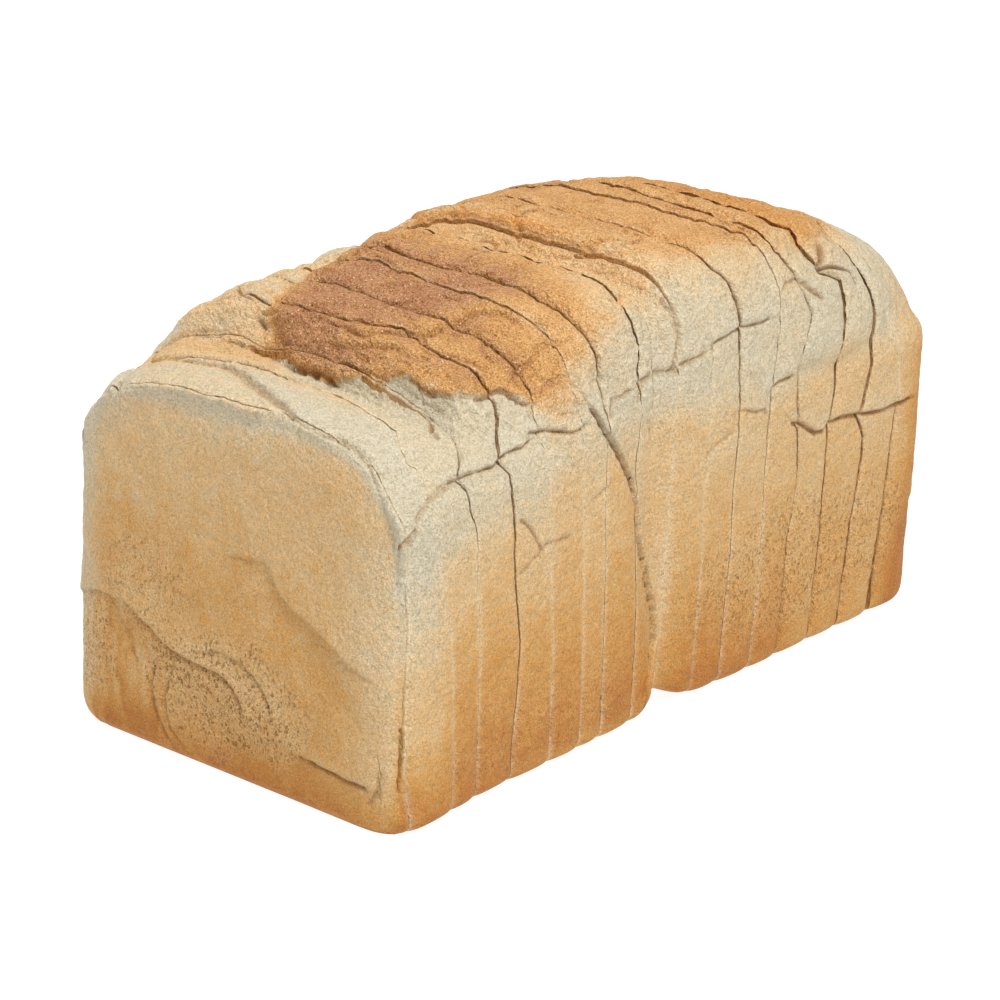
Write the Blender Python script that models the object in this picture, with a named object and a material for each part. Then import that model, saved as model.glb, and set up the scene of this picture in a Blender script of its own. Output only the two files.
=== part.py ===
"""Sliced tin loaf: one white loaf baked from two lobes of dough, cut into slices that still stand together.

The long side runs along Y with the thin heel at the front (-Y), +Z is up, and the origin is the middle of the
base. Each slice is a closed solid of its own. Sizes are in millimetres until the mesh is made in metres. The
right side bulges, so the middle of the loaf's box, BOX_CENTRE, lies a little to the right of the tin's middle.
"""
import math

import bmesh
import bpy
import numpy as np

# Driving sizes
MM = 0.001
LOAF_LENGTH = 203.0
FRONT_HEEL_THICKNESS = 9.2
SLICE_THICKNESS = [11.1, 9.3, 12.5, 14.1, 10.8, 7.9, 12.3, 12.4, 10.8, 10.2, 11.6, 12.7, 12.6, 11.6, 12.1]
REAR_HEEL_THICKNESS = 21.8
CUT_GAP = 0.35
OPEN_GAPS = {9: 0.9, 14: 1.1, 15: 0.7, 16: 1.3}
RAISED_SLICES = {9: 0.8, 14: 1.0}
BELLY_HEIGHT = 56.0
TIN_HALF_WIDTH = 58.0
BOX_CENTRE = np.array([1.9, 0.4, 0.0])
BASE_EXPONENT = 13.0

# Crown and the two lobes
HEEL_TOP = 92.5
FRONT_STEP_Y = -71.5
CROWN_TOP = 116.0
VALLEY_Y = -8.0
REAR_FALL_Y = 49.0
REAR_FALL = 0.40
PINCH_DEPTH = 4.0
PINCH_WIDTH = 6.5

# Heels: radius of the upright edges in plan, and of the top and bottom edges
FRONT_LEFT_ROUND = 20.0
FRONT_RIGHT_ROUND = 13.0
REAR_ROUND = 19.0
RIM_ROUND = 9.0
BASE_ROUND = 5.0
FRONT_LEAN = 6.0

# Mesh
AROUND = 64
RING_STEP = 4.2
FACE_RINGS = (0.84, 0.66, 0.48, 0.30, 0.12)
ROUND_STEPS = (0.0, 0.5, 1.6, 3.4, 5.8, 8.8, 12.5)

# Relief: lines of points on the crust, in millimetres, with how deep and how wide they are
CREASES = [
    ("crown_left_edge", [(-12, -75, 102), (-23, -55, 104), (-28, -37, 106), (-36, -10, 105)], 3.4, 4.5),
    ("crown_front_edge", [(-18, -69, 99), (4, -77, 96), (28, -76, 96), (56, -67, 91)], 2.0, 4.0),
    ("front_shoulder_tear", [(55, -68, 90), (58, -52, 92), (60, -36, 94), (60, -24, 97)], 2.6, 5.0),
    ("lobe_seam_right", [(58, -30, 94), (58, -21, 80), (58, -14, 60), (57, -9, 28), (54, -11, 4)], 3.0, 3.8),
    ("lobe_seam_left", [(-50, -18, 95), (-58, -16, 80), (-58, -8, 34), (-56, -9, 6)], 3.0, 3.8),
    ("rear_side_fold", [(64, 47, 78), (64, 58, 76), (64, 70, 80), (63, 82, 82), (60, 92, 86)], 1.8, 4.5),
    ("rear_crown_notch", [(50, 69, 108), (56, 67, 103), (62, 64, 96)], 2.4, 4.5),
    ("heel_low_crease", [(-52, -101, 40), (-38, -101, 33), (-26, -101, 22), (8, -101, 10)], 1.4, 5.0),
    ("heel_side_crease", [(12, -100, 60), (20, -101, 48), (34, -101, 36), (46, -101, 26)], 1.6, 5.0),
    ("heel_edge_fold", [(50, -96, 84), (56, -95, 60), (58, -95, 34), (58, -95, 8)], 1.8, 4.0),
]


def ease(value, low, high):
    """Smooth step from 0 at low to 1 at high."""
    t = np.clip((value - low) / (high - low), 0.0, 1.0)
    return t * t * (3.0 - 2.0 * t)


def hump(value, centre, width):
    """Bell curve of height 1 round centre."""
    return np.exp(-((value - centre) / width) ** 2)


def crown_height(y):
    """Height of the crown: low at the front heel, a torn step up, a valley at the seam, a fall behind."""
    z = HEEL_TOP + 3.0 * ease(y, -101.0, -80.0)
    z = z + 10.5 * ease(y, FRONT_STEP_Y - 7.0, FRONT_STEP_Y + 8.0)
    z = z + 8.0 * ease(y, -70.0, -5.0)
    z = z - 2.6 * hump(y, VALLEY_Y, 5.0)
    z = z + (CROWN_TOP - HEEL_TOP - 21.5) * ease(y, VALLEY_Y, 6.0)
    fall = 3.0 * np.log1p(np.exp((y - REAR_FALL_Y) / 3.0))
    return z - REAR_FALL * fall


def side_pinch(y):
    """How far the sides draw in where the two lobes meet."""
    return PINCH_DEPTH * hump(y, VALLEY_Y, PINCH_WIDTH)


def end_inset(y, front_round, rear_round):
    """How far a side stands in where it rounds into a heel's face."""
    front = np.clip(1.0 - (y + LOAF_LENGTH / 2.0) / front_round, 0.0, 1.0)
    rear = np.clip(1.0 - (LOAF_LENGTH / 2.0 - y) / rear_round, 0.0, 1.0)
    return front_round * (1.0 - np.sqrt(1.0 - front ** 2)) + rear_round * (1.0 - np.sqrt(1.0 - rear ** 2))


def section(y, turn):
    """One cross-section as x and z, a superellipse with its own corner in each quarter."""
    cos, sin = np.cos(turn), np.sin(turn)
    right = cos > 0.0
    corner_right = 3.4 + 3.1 * ease(y, -45.0, -12.0) * (1.0 - ease(y, 20.0, 60.0))
    corner_left = 3.1 - 0.5 * ease(y, -90.0, -70.0) - 0.3 * hump(y, 52.0, 14.0) + 1.2 * ease(y, 58.0, 95.0)
    corner_top = corner_left + (corner_right - corner_left) * ease(cos, -0.5, 0.5)
    exponent = BASE_EXPONENT + (corner_top - BASE_EXPONENT) * ease(sin, -0.30, 0.45)
    half_right = TIN_HALF_WIDTH - 0.5 + 2.5 * ease(y, -20.0, 30.0)
    half_right = half_right - end_inset(y, FRONT_RIGHT_ROUND, REAR_ROUND)
    half_left = TIN_HALF_WIDTH - end_inset(y, FRONT_LEFT_ROUND, REAR_ROUND)
    rim = end_inset(y, RIM_ROUND, RIM_ROUND)
    base_rim = end_inset(y, BASE_ROUND, BASE_ROUND)
    reach = np.where(right, half_right, half_left)
    rise = np.where(sin > 0.0, crown_height(y) - BELLY_HEIGHT - rim, BELLY_HEIGHT - base_rim)
    radius = ((np.abs(cos) / reach) ** exponent + (np.abs(sin) / rise) ** exponent) ** (-1.0 / exponent)
    x, z = radius * cos, BELLY_HEIGHT + radius * sin
    crest = (12.0 * ease(y, -16.0, 10.0) + 6.0 * ease(y, 25.0, 45.0)) * ease(sin, 0.0, 0.9)
    x = x + crest * (1.0 - (np.abs(x) / reach) ** 1.5)
    flare = -0.045 + 0.045 * ease(y, -96.0, -60.0) + 0.05 * ease(y, -35.0, 20.0)
    x = x * (1.0 + flare * (z - BELLY_HEIGHT) / BELLY_HEIGHT)
    bulge = 2.4 * ease(y, 25.0, 50.0) * hump(z, 88.0, 13.0)
    x = x + np.where(right, bulge, -0.5 * bulge)
    pinch = side_pinch(y) * (1.0 - 0.6 * ease(z, 40.0, 100.0))
    x = x - np.sign(x) * pinch * ease(np.abs(x), 30.0, 50.0)
    z = z + 0.9 * side_pinch(y) * ease(np.abs(x), 30.0, 50.0) * (1.0 - ease(z, 0.0, 25.0))
    flat = (z < 0.35) & (sin < 0.0)
    return x, np.where(flat, 0.0, z)


def outline(y, count=AROUND):
    """Points of a section: even round the crust, closer where it bends, wider apart along the flat base."""
    turn = np.linspace(-math.pi / 2.0, 1.5 * math.pi, 721)
    x, z = section(y, turn)
    step = np.hypot(np.diff(x), np.diff(z))
    heading = np.unwrap(np.arctan2(np.diff(z), np.diff(x)))
    bend = np.abs(np.diff(heading, append=heading[-1]))
    on_base = (np.sin(turn[1:]) < 0.0) & (np.abs(x[1:]) < 0.72 * np.abs(x).max())
    walked = np.concatenate([[0.0], np.cumsum(np.where(on_base, 0.3 * step, step + 7.0 * bend))])
    marks = np.linspace(0.0, walked[-1], count, endpoint=False)
    return np.stack([np.interp(marks, walked, x), np.full(count, y), np.interp(marks, walked, z)], axis=1)


def outward(ring):
    """Unit normals of a closed ring, in its own plane."""
    along = np.roll(ring, -1, axis=0) - np.roll(ring, 1, axis=0)
    normal = np.stack([along[:, 2], np.zeros(len(ring)), -along[:, 0]], axis=1)
    return normal / np.linalg.norm(normal, axis=1)[:, None]


def line_distance(points, line):
    """Distance from each point to a line of straight pieces."""
    nearest = np.full(len(points), 1e9)
    line = np.array(line, dtype=float)
    for start, end in zip(line[:-1], line[1:]):
        along = end - start
        t = np.clip((points - start) @ along / (along @ along), 0.0, 1.0)
        nearest = np.minimum(nearest, np.linalg.norm(points - start - t[:, None] * along, axis=1))
    return nearest


def relief(points):
    """How far the crust stands in (-) or out (+) at each point."""
    depth = np.zeros(len(points))
    for _name, line, deep, wide in CREASES:
        depth = depth - deep * np.exp(-(line_distance(points, line) / wide) ** 2)
    x, y, z = points[:, 0], points[:, 1], points[:, 2]
    ripple = np.sin(0.21 * x + 0.7 * np.sin(0.13 * y)) * np.sin(0.17 * y + 0.05 * z + 1.0)
    return depth + 0.5 * ripple * ease(z, 20.0, 60.0)


def dressed(points, normals):
    """Ring points with the relief applied, kept off the board."""
    depth = relief(points) * ease(points[:, 2], 1.0, 10.0)
    moved = points + normals * depth[:, None]
    moved[:, 2] = np.maximum(moved[:, 2], 0.0)
    return moved


def lean(points):
    """The front heel leans back: its face stands further back the higher it is."""
    near_face = 1.0 - ease(points[:, 1], -101.5, -92.5)
    back = FRONT_LEAN * ease(points[:, 2], 15.0, 100.0) * near_face
    points[:, 1] = points[:, 1] + back
    return points


def heel_rings(face_y, inward, stop):
    """Rings of a heel from the middle of its face out over the rounded rim, as far back as stop."""
    rim = outline(face_y)
    centre = np.array([0.0, face_y, rim[:, 2].mean()])
    facing = np.tile([0.0, -inward, 0.0], (AROUND, 1))
    rings = []
    for share in reversed(FACE_RINGS):
        ring = centre + (rim - centre) * share
        ring[:, 1] = face_y - inward * 0.9 * (1.0 - share ** 2)
        rings.append(dressed(ring, facing))
    for depth in ROUND_STEPS:
        y = face_y + inward * depth
        if inward * (stop - y) > 1.0:
            ring = outline(y)
            rings.append(dressed(ring, outward(ring)))
    return rings


def plain_rings(front, back):
    """Evenly spaced rings between two cuts."""
    steps = max(2, round((back - front) / RING_STEP))
    rings = []
    for y in np.linspace(front, back, steps + 1):
        ring = outline(y)
        rings.append(dressed(ring, outward(ring)))
    return rings


def slice_rings(number, cuts):
    """All rings of one slice, front to back."""
    last = len(cuts) - 2
    gap_front = OPEN_GAPS.get(number, CUT_GAP) / 2.0
    gap_back = OPEN_GAPS.get(number + 1, CUT_GAP) / 2.0
    front, back = cuts[number] + gap_front, cuts[number + 1] - gap_back
    if number == 0:
        rings = heel_rings(cuts[0], 1.0, back) + plain_rings(back - 1.0, back)[-1:]
        return [lean(ring) for ring in rings]
    if number == last:
        heel = heel_rings(cuts[-1], -1.0, front)[::-1]
        return plain_rings(front, front + 4.0)[:-1] + heel
    rings = plain_rings(front, back)
    lift = RAISED_SLICES.get(number, 0.35 * math.sin(2.1 * number))
    sway = 0.35 * math.sin(1.7 * number + 0.6)
    for ring in rings:
        high = ease(ring[:, 2], 55.0, 100.0)
        ring[:, 2] = ring[:, 2] + lift * high
        ring[:, 0] = ring[:, 0] + sway
    return rings


def build_slice(name, rings, colour):
    """A closed solid: a capped circle, extruded once per ring, with each loop moved onto its ring."""
    bm = bmesh.new()
    place = bm.verts.layers.int.new("place")
    made = bmesh.ops.create_circle(bm, cap_ends=True, segments=AROUND, radius=1.0)
    for index, vert in enumerate(made["verts"]):
        vert[place] = index
        vert.co = (rings[0][index] - BOX_CENTRE) * MM
    cap = bm.faces[:][0]
    for number, ring in enumerate(rings[1:]):
        raised = bmesh.ops.extrude_face_region(bm, geom=[cap])
        if number > 0:
            bmesh.ops.delete(bm, geom=[cap], context="FACES_ONLY")
        cap = [item for item in raised["geom"] if isinstance(item, bmesh.types.BMFace)][0]
        for vert in cap.verts:
            vert.co = (ring[vert[place]] - BOX_CENTRE) * MM
    bmesh.ops.recalc_face_normals(bm, faces=bm.faces)
    mesh = bpy.data.meshes.new(name)
    bm.to_mesh(mesh)
    bm.free()
    mesh.shade_smooth()
    mesh.set_sharp_from_angle(angle=math.radians(38.0))
    mesh.materials.append(crust_material(name, colour))
    loaf_slice = bpy.data.objects.new(name, mesh)
    bpy.context.scene.collection.objects.link(loaf_slice)
    return loaf_slice


def crust_material(name, colour):
    """Matt baked crust."""
    material = bpy.data.materials.new(name + "_crust")
    material.use_nodes = True
    shader = material.node_tree.nodes["Principled BSDF"]
    shader.inputs["Base Color"].default_value = (*colour, 1.0)
    shader.inputs["Roughness"].default_value = 0.72
    shader.inputs["Metallic"].default_value = 0.0
    return material


def crust_colour(number):
    """Pale at the front heel, most browned along the front lobe."""
    brown = float(hump(number, 5.0, 4.0))
    return (0.70 - 0.14 * brown, 0.46 - 0.16 * brown, 0.22 - 0.10 * brown)


def slice_name(number, last):
    """Node names, front to back."""
    if number == 0:
        return "front_heel"
    if number == last:
        return "rear_heel"
    return f"slice_{number:02d}"


def cut_places():
    """Where the loaf starts, is cut and ends, along Y."""
    return np.cumsum([-LOAF_LENGTH / 2.0, FRONT_HEEL_THICKNESS, *SLICE_THICKNESS, REAR_HEEL_THICKNESS])


def main():
    """Clear the scene and build the loaf slice by slice."""
    for old in list(bpy.data.objects):
        bpy.data.objects.remove(old)
    cuts = cut_places()
    last = len(cuts) - 2
    for number in range(last + 1):
        build_slice(slice_name(number, last), slice_rings(number, cuts), crust_colour(number))


main()
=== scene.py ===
"""Sliced tin loaf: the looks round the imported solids.

The loaf is one white tin loaf baked from two lobes of dough and cut into slices that still stand together.
Shapes are worked out in millimetres in the loaf's own frame (long side along Y, thin heel at -Y, middle of the
tin at x = 0, base at z = 0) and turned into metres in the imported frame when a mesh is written.
"""
import logging
import math
from dataclasses import dataclass, replace
from enum import Enum
from functools import lru_cache

import bmesh
import bpy
import numpy as np
from mathutils import Matrix, Vector
from mathutils.bvhtree import BVHTree


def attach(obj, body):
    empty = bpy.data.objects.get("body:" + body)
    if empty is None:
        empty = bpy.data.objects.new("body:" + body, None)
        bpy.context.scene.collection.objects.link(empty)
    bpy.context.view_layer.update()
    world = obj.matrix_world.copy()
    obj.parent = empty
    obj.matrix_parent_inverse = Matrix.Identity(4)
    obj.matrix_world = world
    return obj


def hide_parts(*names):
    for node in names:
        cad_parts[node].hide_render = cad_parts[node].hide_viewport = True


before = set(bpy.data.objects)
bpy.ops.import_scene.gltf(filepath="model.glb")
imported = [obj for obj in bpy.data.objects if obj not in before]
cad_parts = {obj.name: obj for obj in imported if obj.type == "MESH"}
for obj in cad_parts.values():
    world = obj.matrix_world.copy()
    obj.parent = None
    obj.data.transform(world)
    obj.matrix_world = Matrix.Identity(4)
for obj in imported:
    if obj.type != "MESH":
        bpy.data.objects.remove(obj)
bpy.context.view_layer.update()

LOG = logging.getLogger("tin_loaf")
MM = 0.001
BOX_CENTRE = np.array([1.9, 0.4, 0.0])
SIGNS = ("bake", "tone", "pale", "shade", "rim", "pores", "gilt", "crumb")


def ease(value: np.ndarray, low: float, high: float) -> np.ndarray:
    """Smooth step from 0 at low to 1 at high.

    Args:
        value: What is compared.
        low: Where the step starts.
        high: Where it ends.

    Returns:
        Values from 0 to 1.
    """
    t = np.clip((value - low) / (high - low), 0.0, 1.0)
    return t * t * (3.0 - 2.0 * t)


def hump(value: np.ndarray, centre: float, width: float) -> np.ndarray:
    """Bell curve of height 1.

    Args:
        value: Where it is read.
        centre: Where it peaks.
        width: How far it falls to about a third.

    Returns:
        Values from 0 to 1.
    """
    return np.exp(-((value - centre) / width) ** 2)


@dataclass(frozen=True)
class Patch:
    """Something added over part of the loaf: to its form, its relief or its browning.

    Its strength is multiplied by its steps and bells, each a measure with two numbers, and by its shares. A step rises
    from its first number to its second, and falls where the first is the larger. A bell has a centre and a width.
    """

    name: str
    strength: float
    steps: tuple[tuple[str, float, float], ...] = ()
    bells: tuple[tuple[str, float, float], ...] = ()
    shares: tuple[str, ...] = ()

    def read(self, signs: dict[str, np.ndarray]) -> np.ndarray:
        """What it adds.

        Args:
            signs: Measures and shares by name, y among them.

        Returns:
            The values.
        """
        total = self.strength + 0.0 * signs["y"]
        for measure, low, high in self.steps:
            total = total * ease(signs[measure], low, high)
        for measure, centre, width in self.bells:
            total = total * hump(signs[measure], centre, width)
        for share in self.shares:
            total = total * signs[share]
        return total


def layered(patches: tuple[Patch, ...], signs: dict[str, np.ndarray]) -> np.ndarray:
    """What some patches add together.

    Args:
        patches: The patches.
        signs: Measures and shares by name.

    Returns:
        The sum.
    """
    return sum(patch.read(signs) for patch in patches)


class Grain:
    """Repeatable noise in space."""

    def __init__(self, seed: int) -> None:
        """Draw the random tables.

        Args:
            seed: Picks the tables.
        """
        chance = np.random.default_rng(seed)
        self.order = np.tile(chance.permutation(256), 3).astype(np.int32)
        slopes = chance.normal(size=(3, 256))
        self.slopes = (slopes / np.linalg.norm(slopes, axis=0)).astype(np.float32)
        self.spots = chance.random((3, 256)).astype(np.float32)

    def soft(self, points: np.ndarray, size: float | tuple[float, float, float], shift: float = 0.0) -> np.ndarray:
        """Smooth noise.

        Args:
            points: Places in millimetres.
            size: Width of a feature, one for all or one an axis.
            shift: Moves the pattern, so one table serves many uses.

        Returns:
            Values from about -1 to 1.
        """
        spot = (points / np.asarray(size) + shift).astype(np.float32)
        base = np.floor(spot)
        cx, cy, cz = (base.astype(np.int32) & 255).T.copy()
        ix, iy, iz = (spot - base).T.copy()
        wx, wy, wz = (part * part * part * (part * (part * 6.0 - 15.0) + 10.0) for part in (ix, iy, iz))
        slices = []
        for dx in (0, 1):
            first = self.order[cx + dx]
            rows = []
            for dy in (0, 1):
                second = self.order[first + cy + dy]
                ends = []
                for dz in (0, 1):
                    row = self.order[second + cz + dz]
                    sx, sy, sz = self.slopes[0][row], self.slopes[1][row], self.slopes[2][row]
                    ends.append(sx * (ix - dx) + sy * (iy - dy) + sz * (iz - dz))
                rows.append(ends[0] + wz * (ends[1] - ends[0]))
            slices.append(rows[0] + wy * (rows[1] - rows[0]))
        return 1.6 * (slices[0] + wx * (slices[1] - slices[0]))

    def rough(self, points: np.ndarray, size: float | tuple[float, float, float], layers: int,
              shift: float = 0.0) -> np.ndarray:
        """Noise in layers, each half the size of the last.

        Args:
            points: Places in millimetres.
            size: Width of the largest feature.
            layers: How many layers.
            shift: Moves the pattern.

        Returns:
            Values from about -1 to 1.
        """
        total = np.zeros(len(points), dtype=np.float32)
        size = np.asarray(size, dtype=float)
        for layer in range(layers):
            total += self.soft(points, size / 2.0 ** layer, shift + 7.3 * layer) * 0.5 ** layer
        return total / (2.0 - 0.5 ** (layers - 1))

    def pits(self, points: np.ndarray, size: float | tuple[float, float, float], shift: float = 0.0) -> np.ndarray:
        """Distance to the nearest of scattered spots.

        Args:
            points: Places in millimetres.
            size: Width of a cell, which holds one spot.
            shift: Moves the pattern.

        Returns:
            Distances in cell widths.
        """
        spot = (points / np.asarray(size) + shift).astype(np.float32)
        base = np.floor(spot)
        cx, cy, cz = (base.astype(np.int32) & 255).T.copy() + 1
        ix, iy, iz = (spot - base).T.copy()
        nearest = np.full(len(points), 9.0, dtype=np.float32)
        for dx, dy, dz in np.ndindex(3, 3, 3):
            row = self.order[self.order[self.order[cx + dx - 1] + cy + dy - 1] + cz + dz - 1]
            off = (dx - 1 + self.spots[0][row] - ix) ** 2
            off += (dy - 1 + self.spots[1][row] - iy) ** 2
            off += (dz - 1 + self.spots[2][row] - iz) ** 2
            nearest = np.minimum(nearest, off)
        return np.sqrt(nearest)


GRAIN = Grain(11)


@dataclass(frozen=True)
class LoafForm:
    """The loaf's own form, in millimetres, before it is creased and cut."""

    length: float = 203.0
    belly: float = 56.0
    half_width: float = 58.0
    base_exponent: float = 26.0
    valley_y: float = -8.0
    rear_fall_y: float = 49.0
    rear_fall_bend: float = 3.0
    rear_fall: float = 0.40
    pinch_depth: float = 4.0
    pinch_width: float = 6.5
    pinch_lean: float = 7.0
    pinch_lift: float = 0.9
    front_left_round: float = 20.0
    front_right_round: float = 13.0
    rear_round: float = 14.5
    rim_round: float = 9.0
    rear_rim_round: float = 12.0
    base_round: float = 3.0
    base_flat: float = 0.35
    front_lean: float = 6.0
    crown: tuple[Patch, ...] = (
        Patch("heel", 92.5),
        Patch("behind_heel", 3, (("y", -101, -80),)),
        Patch("torn_step", 10.5, (("y", -78.5, -63.5),)),
        Patch("front_lobe", 7, (("y", -75, -15),)),
        Patch("valley", -2.8, bells=(("y", -8, 5),)),
        Patch("rear_lobe", 3.5, (("y", -7, 4),)),
    )
    right_corner: tuple[Patch, ...] = (
        Patch("all", 3.4),
        Patch("middle", 3.1, (("y", -45, -12), ("y", 60, 20))),
        Patch("rear", -0.8, (("y", 60, 90),)),
    )
    left_corner: tuple[Patch, ...] = (
        Patch("all", 2.6),
        Patch("behind_heel", 0.45, (("y", -100, -90),)),
        Patch("front_lobe", -0.50, (("y", -52, -32),)),
        Patch("rear_lobe", 0.08, (("y", 5, 22),)),
        Patch("rear_shoulder", -0.3, bells=(("y", 52, 14),)),
        Patch("rear", 1.2, (("y", 58, 95),)),
    )
    wider_right: tuple[Patch, ...] = (
        Patch("front_lobe", -0.5),
        Patch("rear_lobe", 2.5, (("y", -20, 30),)),
    )
    crest_shift: tuple[Patch, ...] = (
        Patch("rear_lobe", 12, (("y", -16, 10), ("sin", 0, 0.9))),
        Patch("rear", 6, (("y", 25, 45), ("sin", 0, 0.9))),
    )
    flare: tuple[Patch, ...] = (
        Patch("heel", -0.045),
        Patch("front_lobe", 0.045, (("y", -96, -60),)),
        Patch("rear_lobe", 0.05, (("y", -35, 20),)),
    )
    bulge: tuple[Patch, ...] = (
        Patch("rear_side", 0.48, (("y", 25, 50),), (("z", 88, 15),)),
        Patch("rear_lobe", 1.92, (("y", 25, 50), ("y", 100, 70)), (("z", 88, 15),)),
    )

    def crown_height(self, y: np.ndarray) -> np.ndarray:
        """Height of the crown: low at the front heel, a torn step up, a valley, a fall behind.

        Args:
            y: Places along the loaf.

        Returns:
            Heights.
        """
        bend = self.rear_fall_bend
        fall = bend * np.log1p(np.exp((y - self.rear_fall_y) / bend))
        return layered(self.crown, {"y": y}) - self.rear_fall * fall

    def side_pinch(self, y: np.ndarray) -> np.ndarray:
        """How far the sides draw in where the lobes meet.

        Args:
            y: Places along the loaf.

        Returns:
            Depths.
        """
        return self.pinch_depth * hump(y, self.valley_y, self.pinch_width)

    def end_inset(self, y: np.ndarray, front_round: float, rear_round: float) -> np.ndarray:
        """How far a side stands in where it rounds into a heel's face.

        Args:
            y: Places along the loaf.
            front_round: Radius at the front heel.
            rear_round: Radius at the rear heel.

        Returns:
            Depths.
        """
        front = np.clip(1.0 - (y + self.length / 2.0) / front_round, 0.0, 1.0)
        rear = np.clip(1.0 - (self.length / 2.0 - y) / rear_round, 0.0, 1.0)
        return front_round * (1.0 - np.sqrt(1.0 - front ** 2)) + rear_round * (1.0 - np.sqrt(1.0 - rear ** 2))

    def section(self, y: np.ndarray, turn: np.ndarray) -> tuple[np.ndarray, np.ndarray]:
        """Cross-sections, each a superellipse with its own corner in each quarter.

        Args:
            y: Places along the loaf, as a column.
            turn: Angles round the section, as a row.

        Returns:
            x and z of each.
        """
        y = y + 0.0 * turn
        cos, sin = np.cos(turn) + 0.0 * y, np.sin(turn) + 0.0 * y
        signs = {"y": y, "sin": sin}
        right = cos > 0.0
        corner_left = layered(self.left_corner, signs)
        corner_top = corner_left + (layered(self.right_corner, signs) - corner_left) * ease(cos, -0.5, 0.5)
        exponent = self.base_exponent + (corner_top - self.base_exponent) * ease(sin, -0.30, 0.45)
        half_right = self.half_width + layered(self.wider_right, signs)
        half_right = half_right - self.end_inset(y, self.front_right_round, self.rear_round)
        half_left = self.half_width - self.end_inset(y, self.front_left_round, self.rear_round)
        rim = self.end_inset(y, self.rim_round, self.rear_rim_round)
        base_rim = self.end_inset(y, self.base_round, self.base_round)
        reach = np.where(right, half_right, half_left)
        rise = np.where(sin > 0.0, self.crown_height(y) - self.belly - rim, self.belly - base_rim)
        radius = ((np.abs(cos) / reach) ** exponent + (np.abs(sin) / rise) ** exponent) ** (-1.0 / exponent)
        x, z = radius * cos, self.belly + radius * sin
        x = x + layered(self.crest_shift, signs) * (1.0 - (np.abs(x) / reach) ** 1.5)
        x = x * (1.0 + layered(self.flare, signs) * (z - self.belly) / self.belly)
        bulge = layered(self.bulge, {"y": y, "z": z})
        x = x + np.where(right, bulge, -0.5 * bulge)
        return self.pinched(x, y, z, right, sin)

    def pinched(self, x: np.ndarray, y: np.ndarray, z: np.ndarray, right: np.ndarray,
                sin: np.ndarray) -> tuple[np.ndarray, np.ndarray]:
        """The cross-sections drawn in where the lobes meet, and flat underneath.

        Args:
            x: Their x.
            y: Their y.
            z: Their z.
            right: Which points are on the right.
            sin: Sines of their angles.

        Returns:
            x and z of each.
        """
        seam = y - np.where(right, self.pinch_lean * ease(z, 60.0, 2.0), 0.0)
        depth = self.side_pinch(seam)
        pinch = depth * (1.0 - 0.6 * ease(z, 40.0, 100.0)) * (0.6 + 0.4 * ease(z, 0.0, 24.0))
        x = x - np.sign(x) * pinch * ease(np.abs(x), 30.0, 50.0)
        z = z + self.pinch_lift * depth * ease(np.abs(x), 30.0, 50.0) * ease(z, 25.0, 0.0)
        flat = (z < self.base_flat) & (sin < 0.0)
        return x, np.where(flat, 0.0, z)

    def outlines(self, places: np.ndarray, around: int, base_share: float) -> np.ndarray:
        """Rings of the loaf, even round the crust and wider apart along the flat base.

        Args:
            places: Where along the loaf each ring is.
            around: Points in a ring.
            base_share: Weight of the base's length, 1 for even.

        Returns:
            Points, ring by ring.
        """
        turn = np.linspace(-math.pi / 2.0, 1.5 * math.pi, 2881)
        rings = np.empty((len(places), around, 3))
        for row, y in enumerate(places):
            x, z = self.section(np.array([y]), turn)
            step = np.hypot(np.diff(x), np.diff(z))
            heading = np.unwrap(np.arctan2(np.diff(z), np.diff(x)))
            bend = np.abs(np.diff(heading, append=heading[-1]))
            on_base = (np.sin(turn[1:]) < 0.0) & (np.abs(x[1:]) < 0.72 * np.abs(x).max())
            walked = np.where(on_base, base_share * step, step + 3.0 * bend)
            walked = np.concatenate([[0.0], np.cumsum(walked)])
            marks = np.linspace(0.0, walked[-1], around, endpoint=False)
            rings[row, :, 0] = np.interp(marks, walked, x)
            rings[row, :, 1] = y
            rings[row, :, 2] = np.interp(marks, walked, z)
        return rings

    def lean(self, points: np.ndarray) -> np.ndarray:
        """How far the front heel leans back at each point.

        Args:
            points: Places in the loaf's frame.

        Returns:
            Distances along Y.
        """
        near_face = 1.0 - ease(points[:, 1], -101.5, -92.5)
        return self.front_lean * ease(points[:, 2], 15.0, 100.0) * near_face


FORM = LoafForm()
FACE_DOME = 0.9


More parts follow.
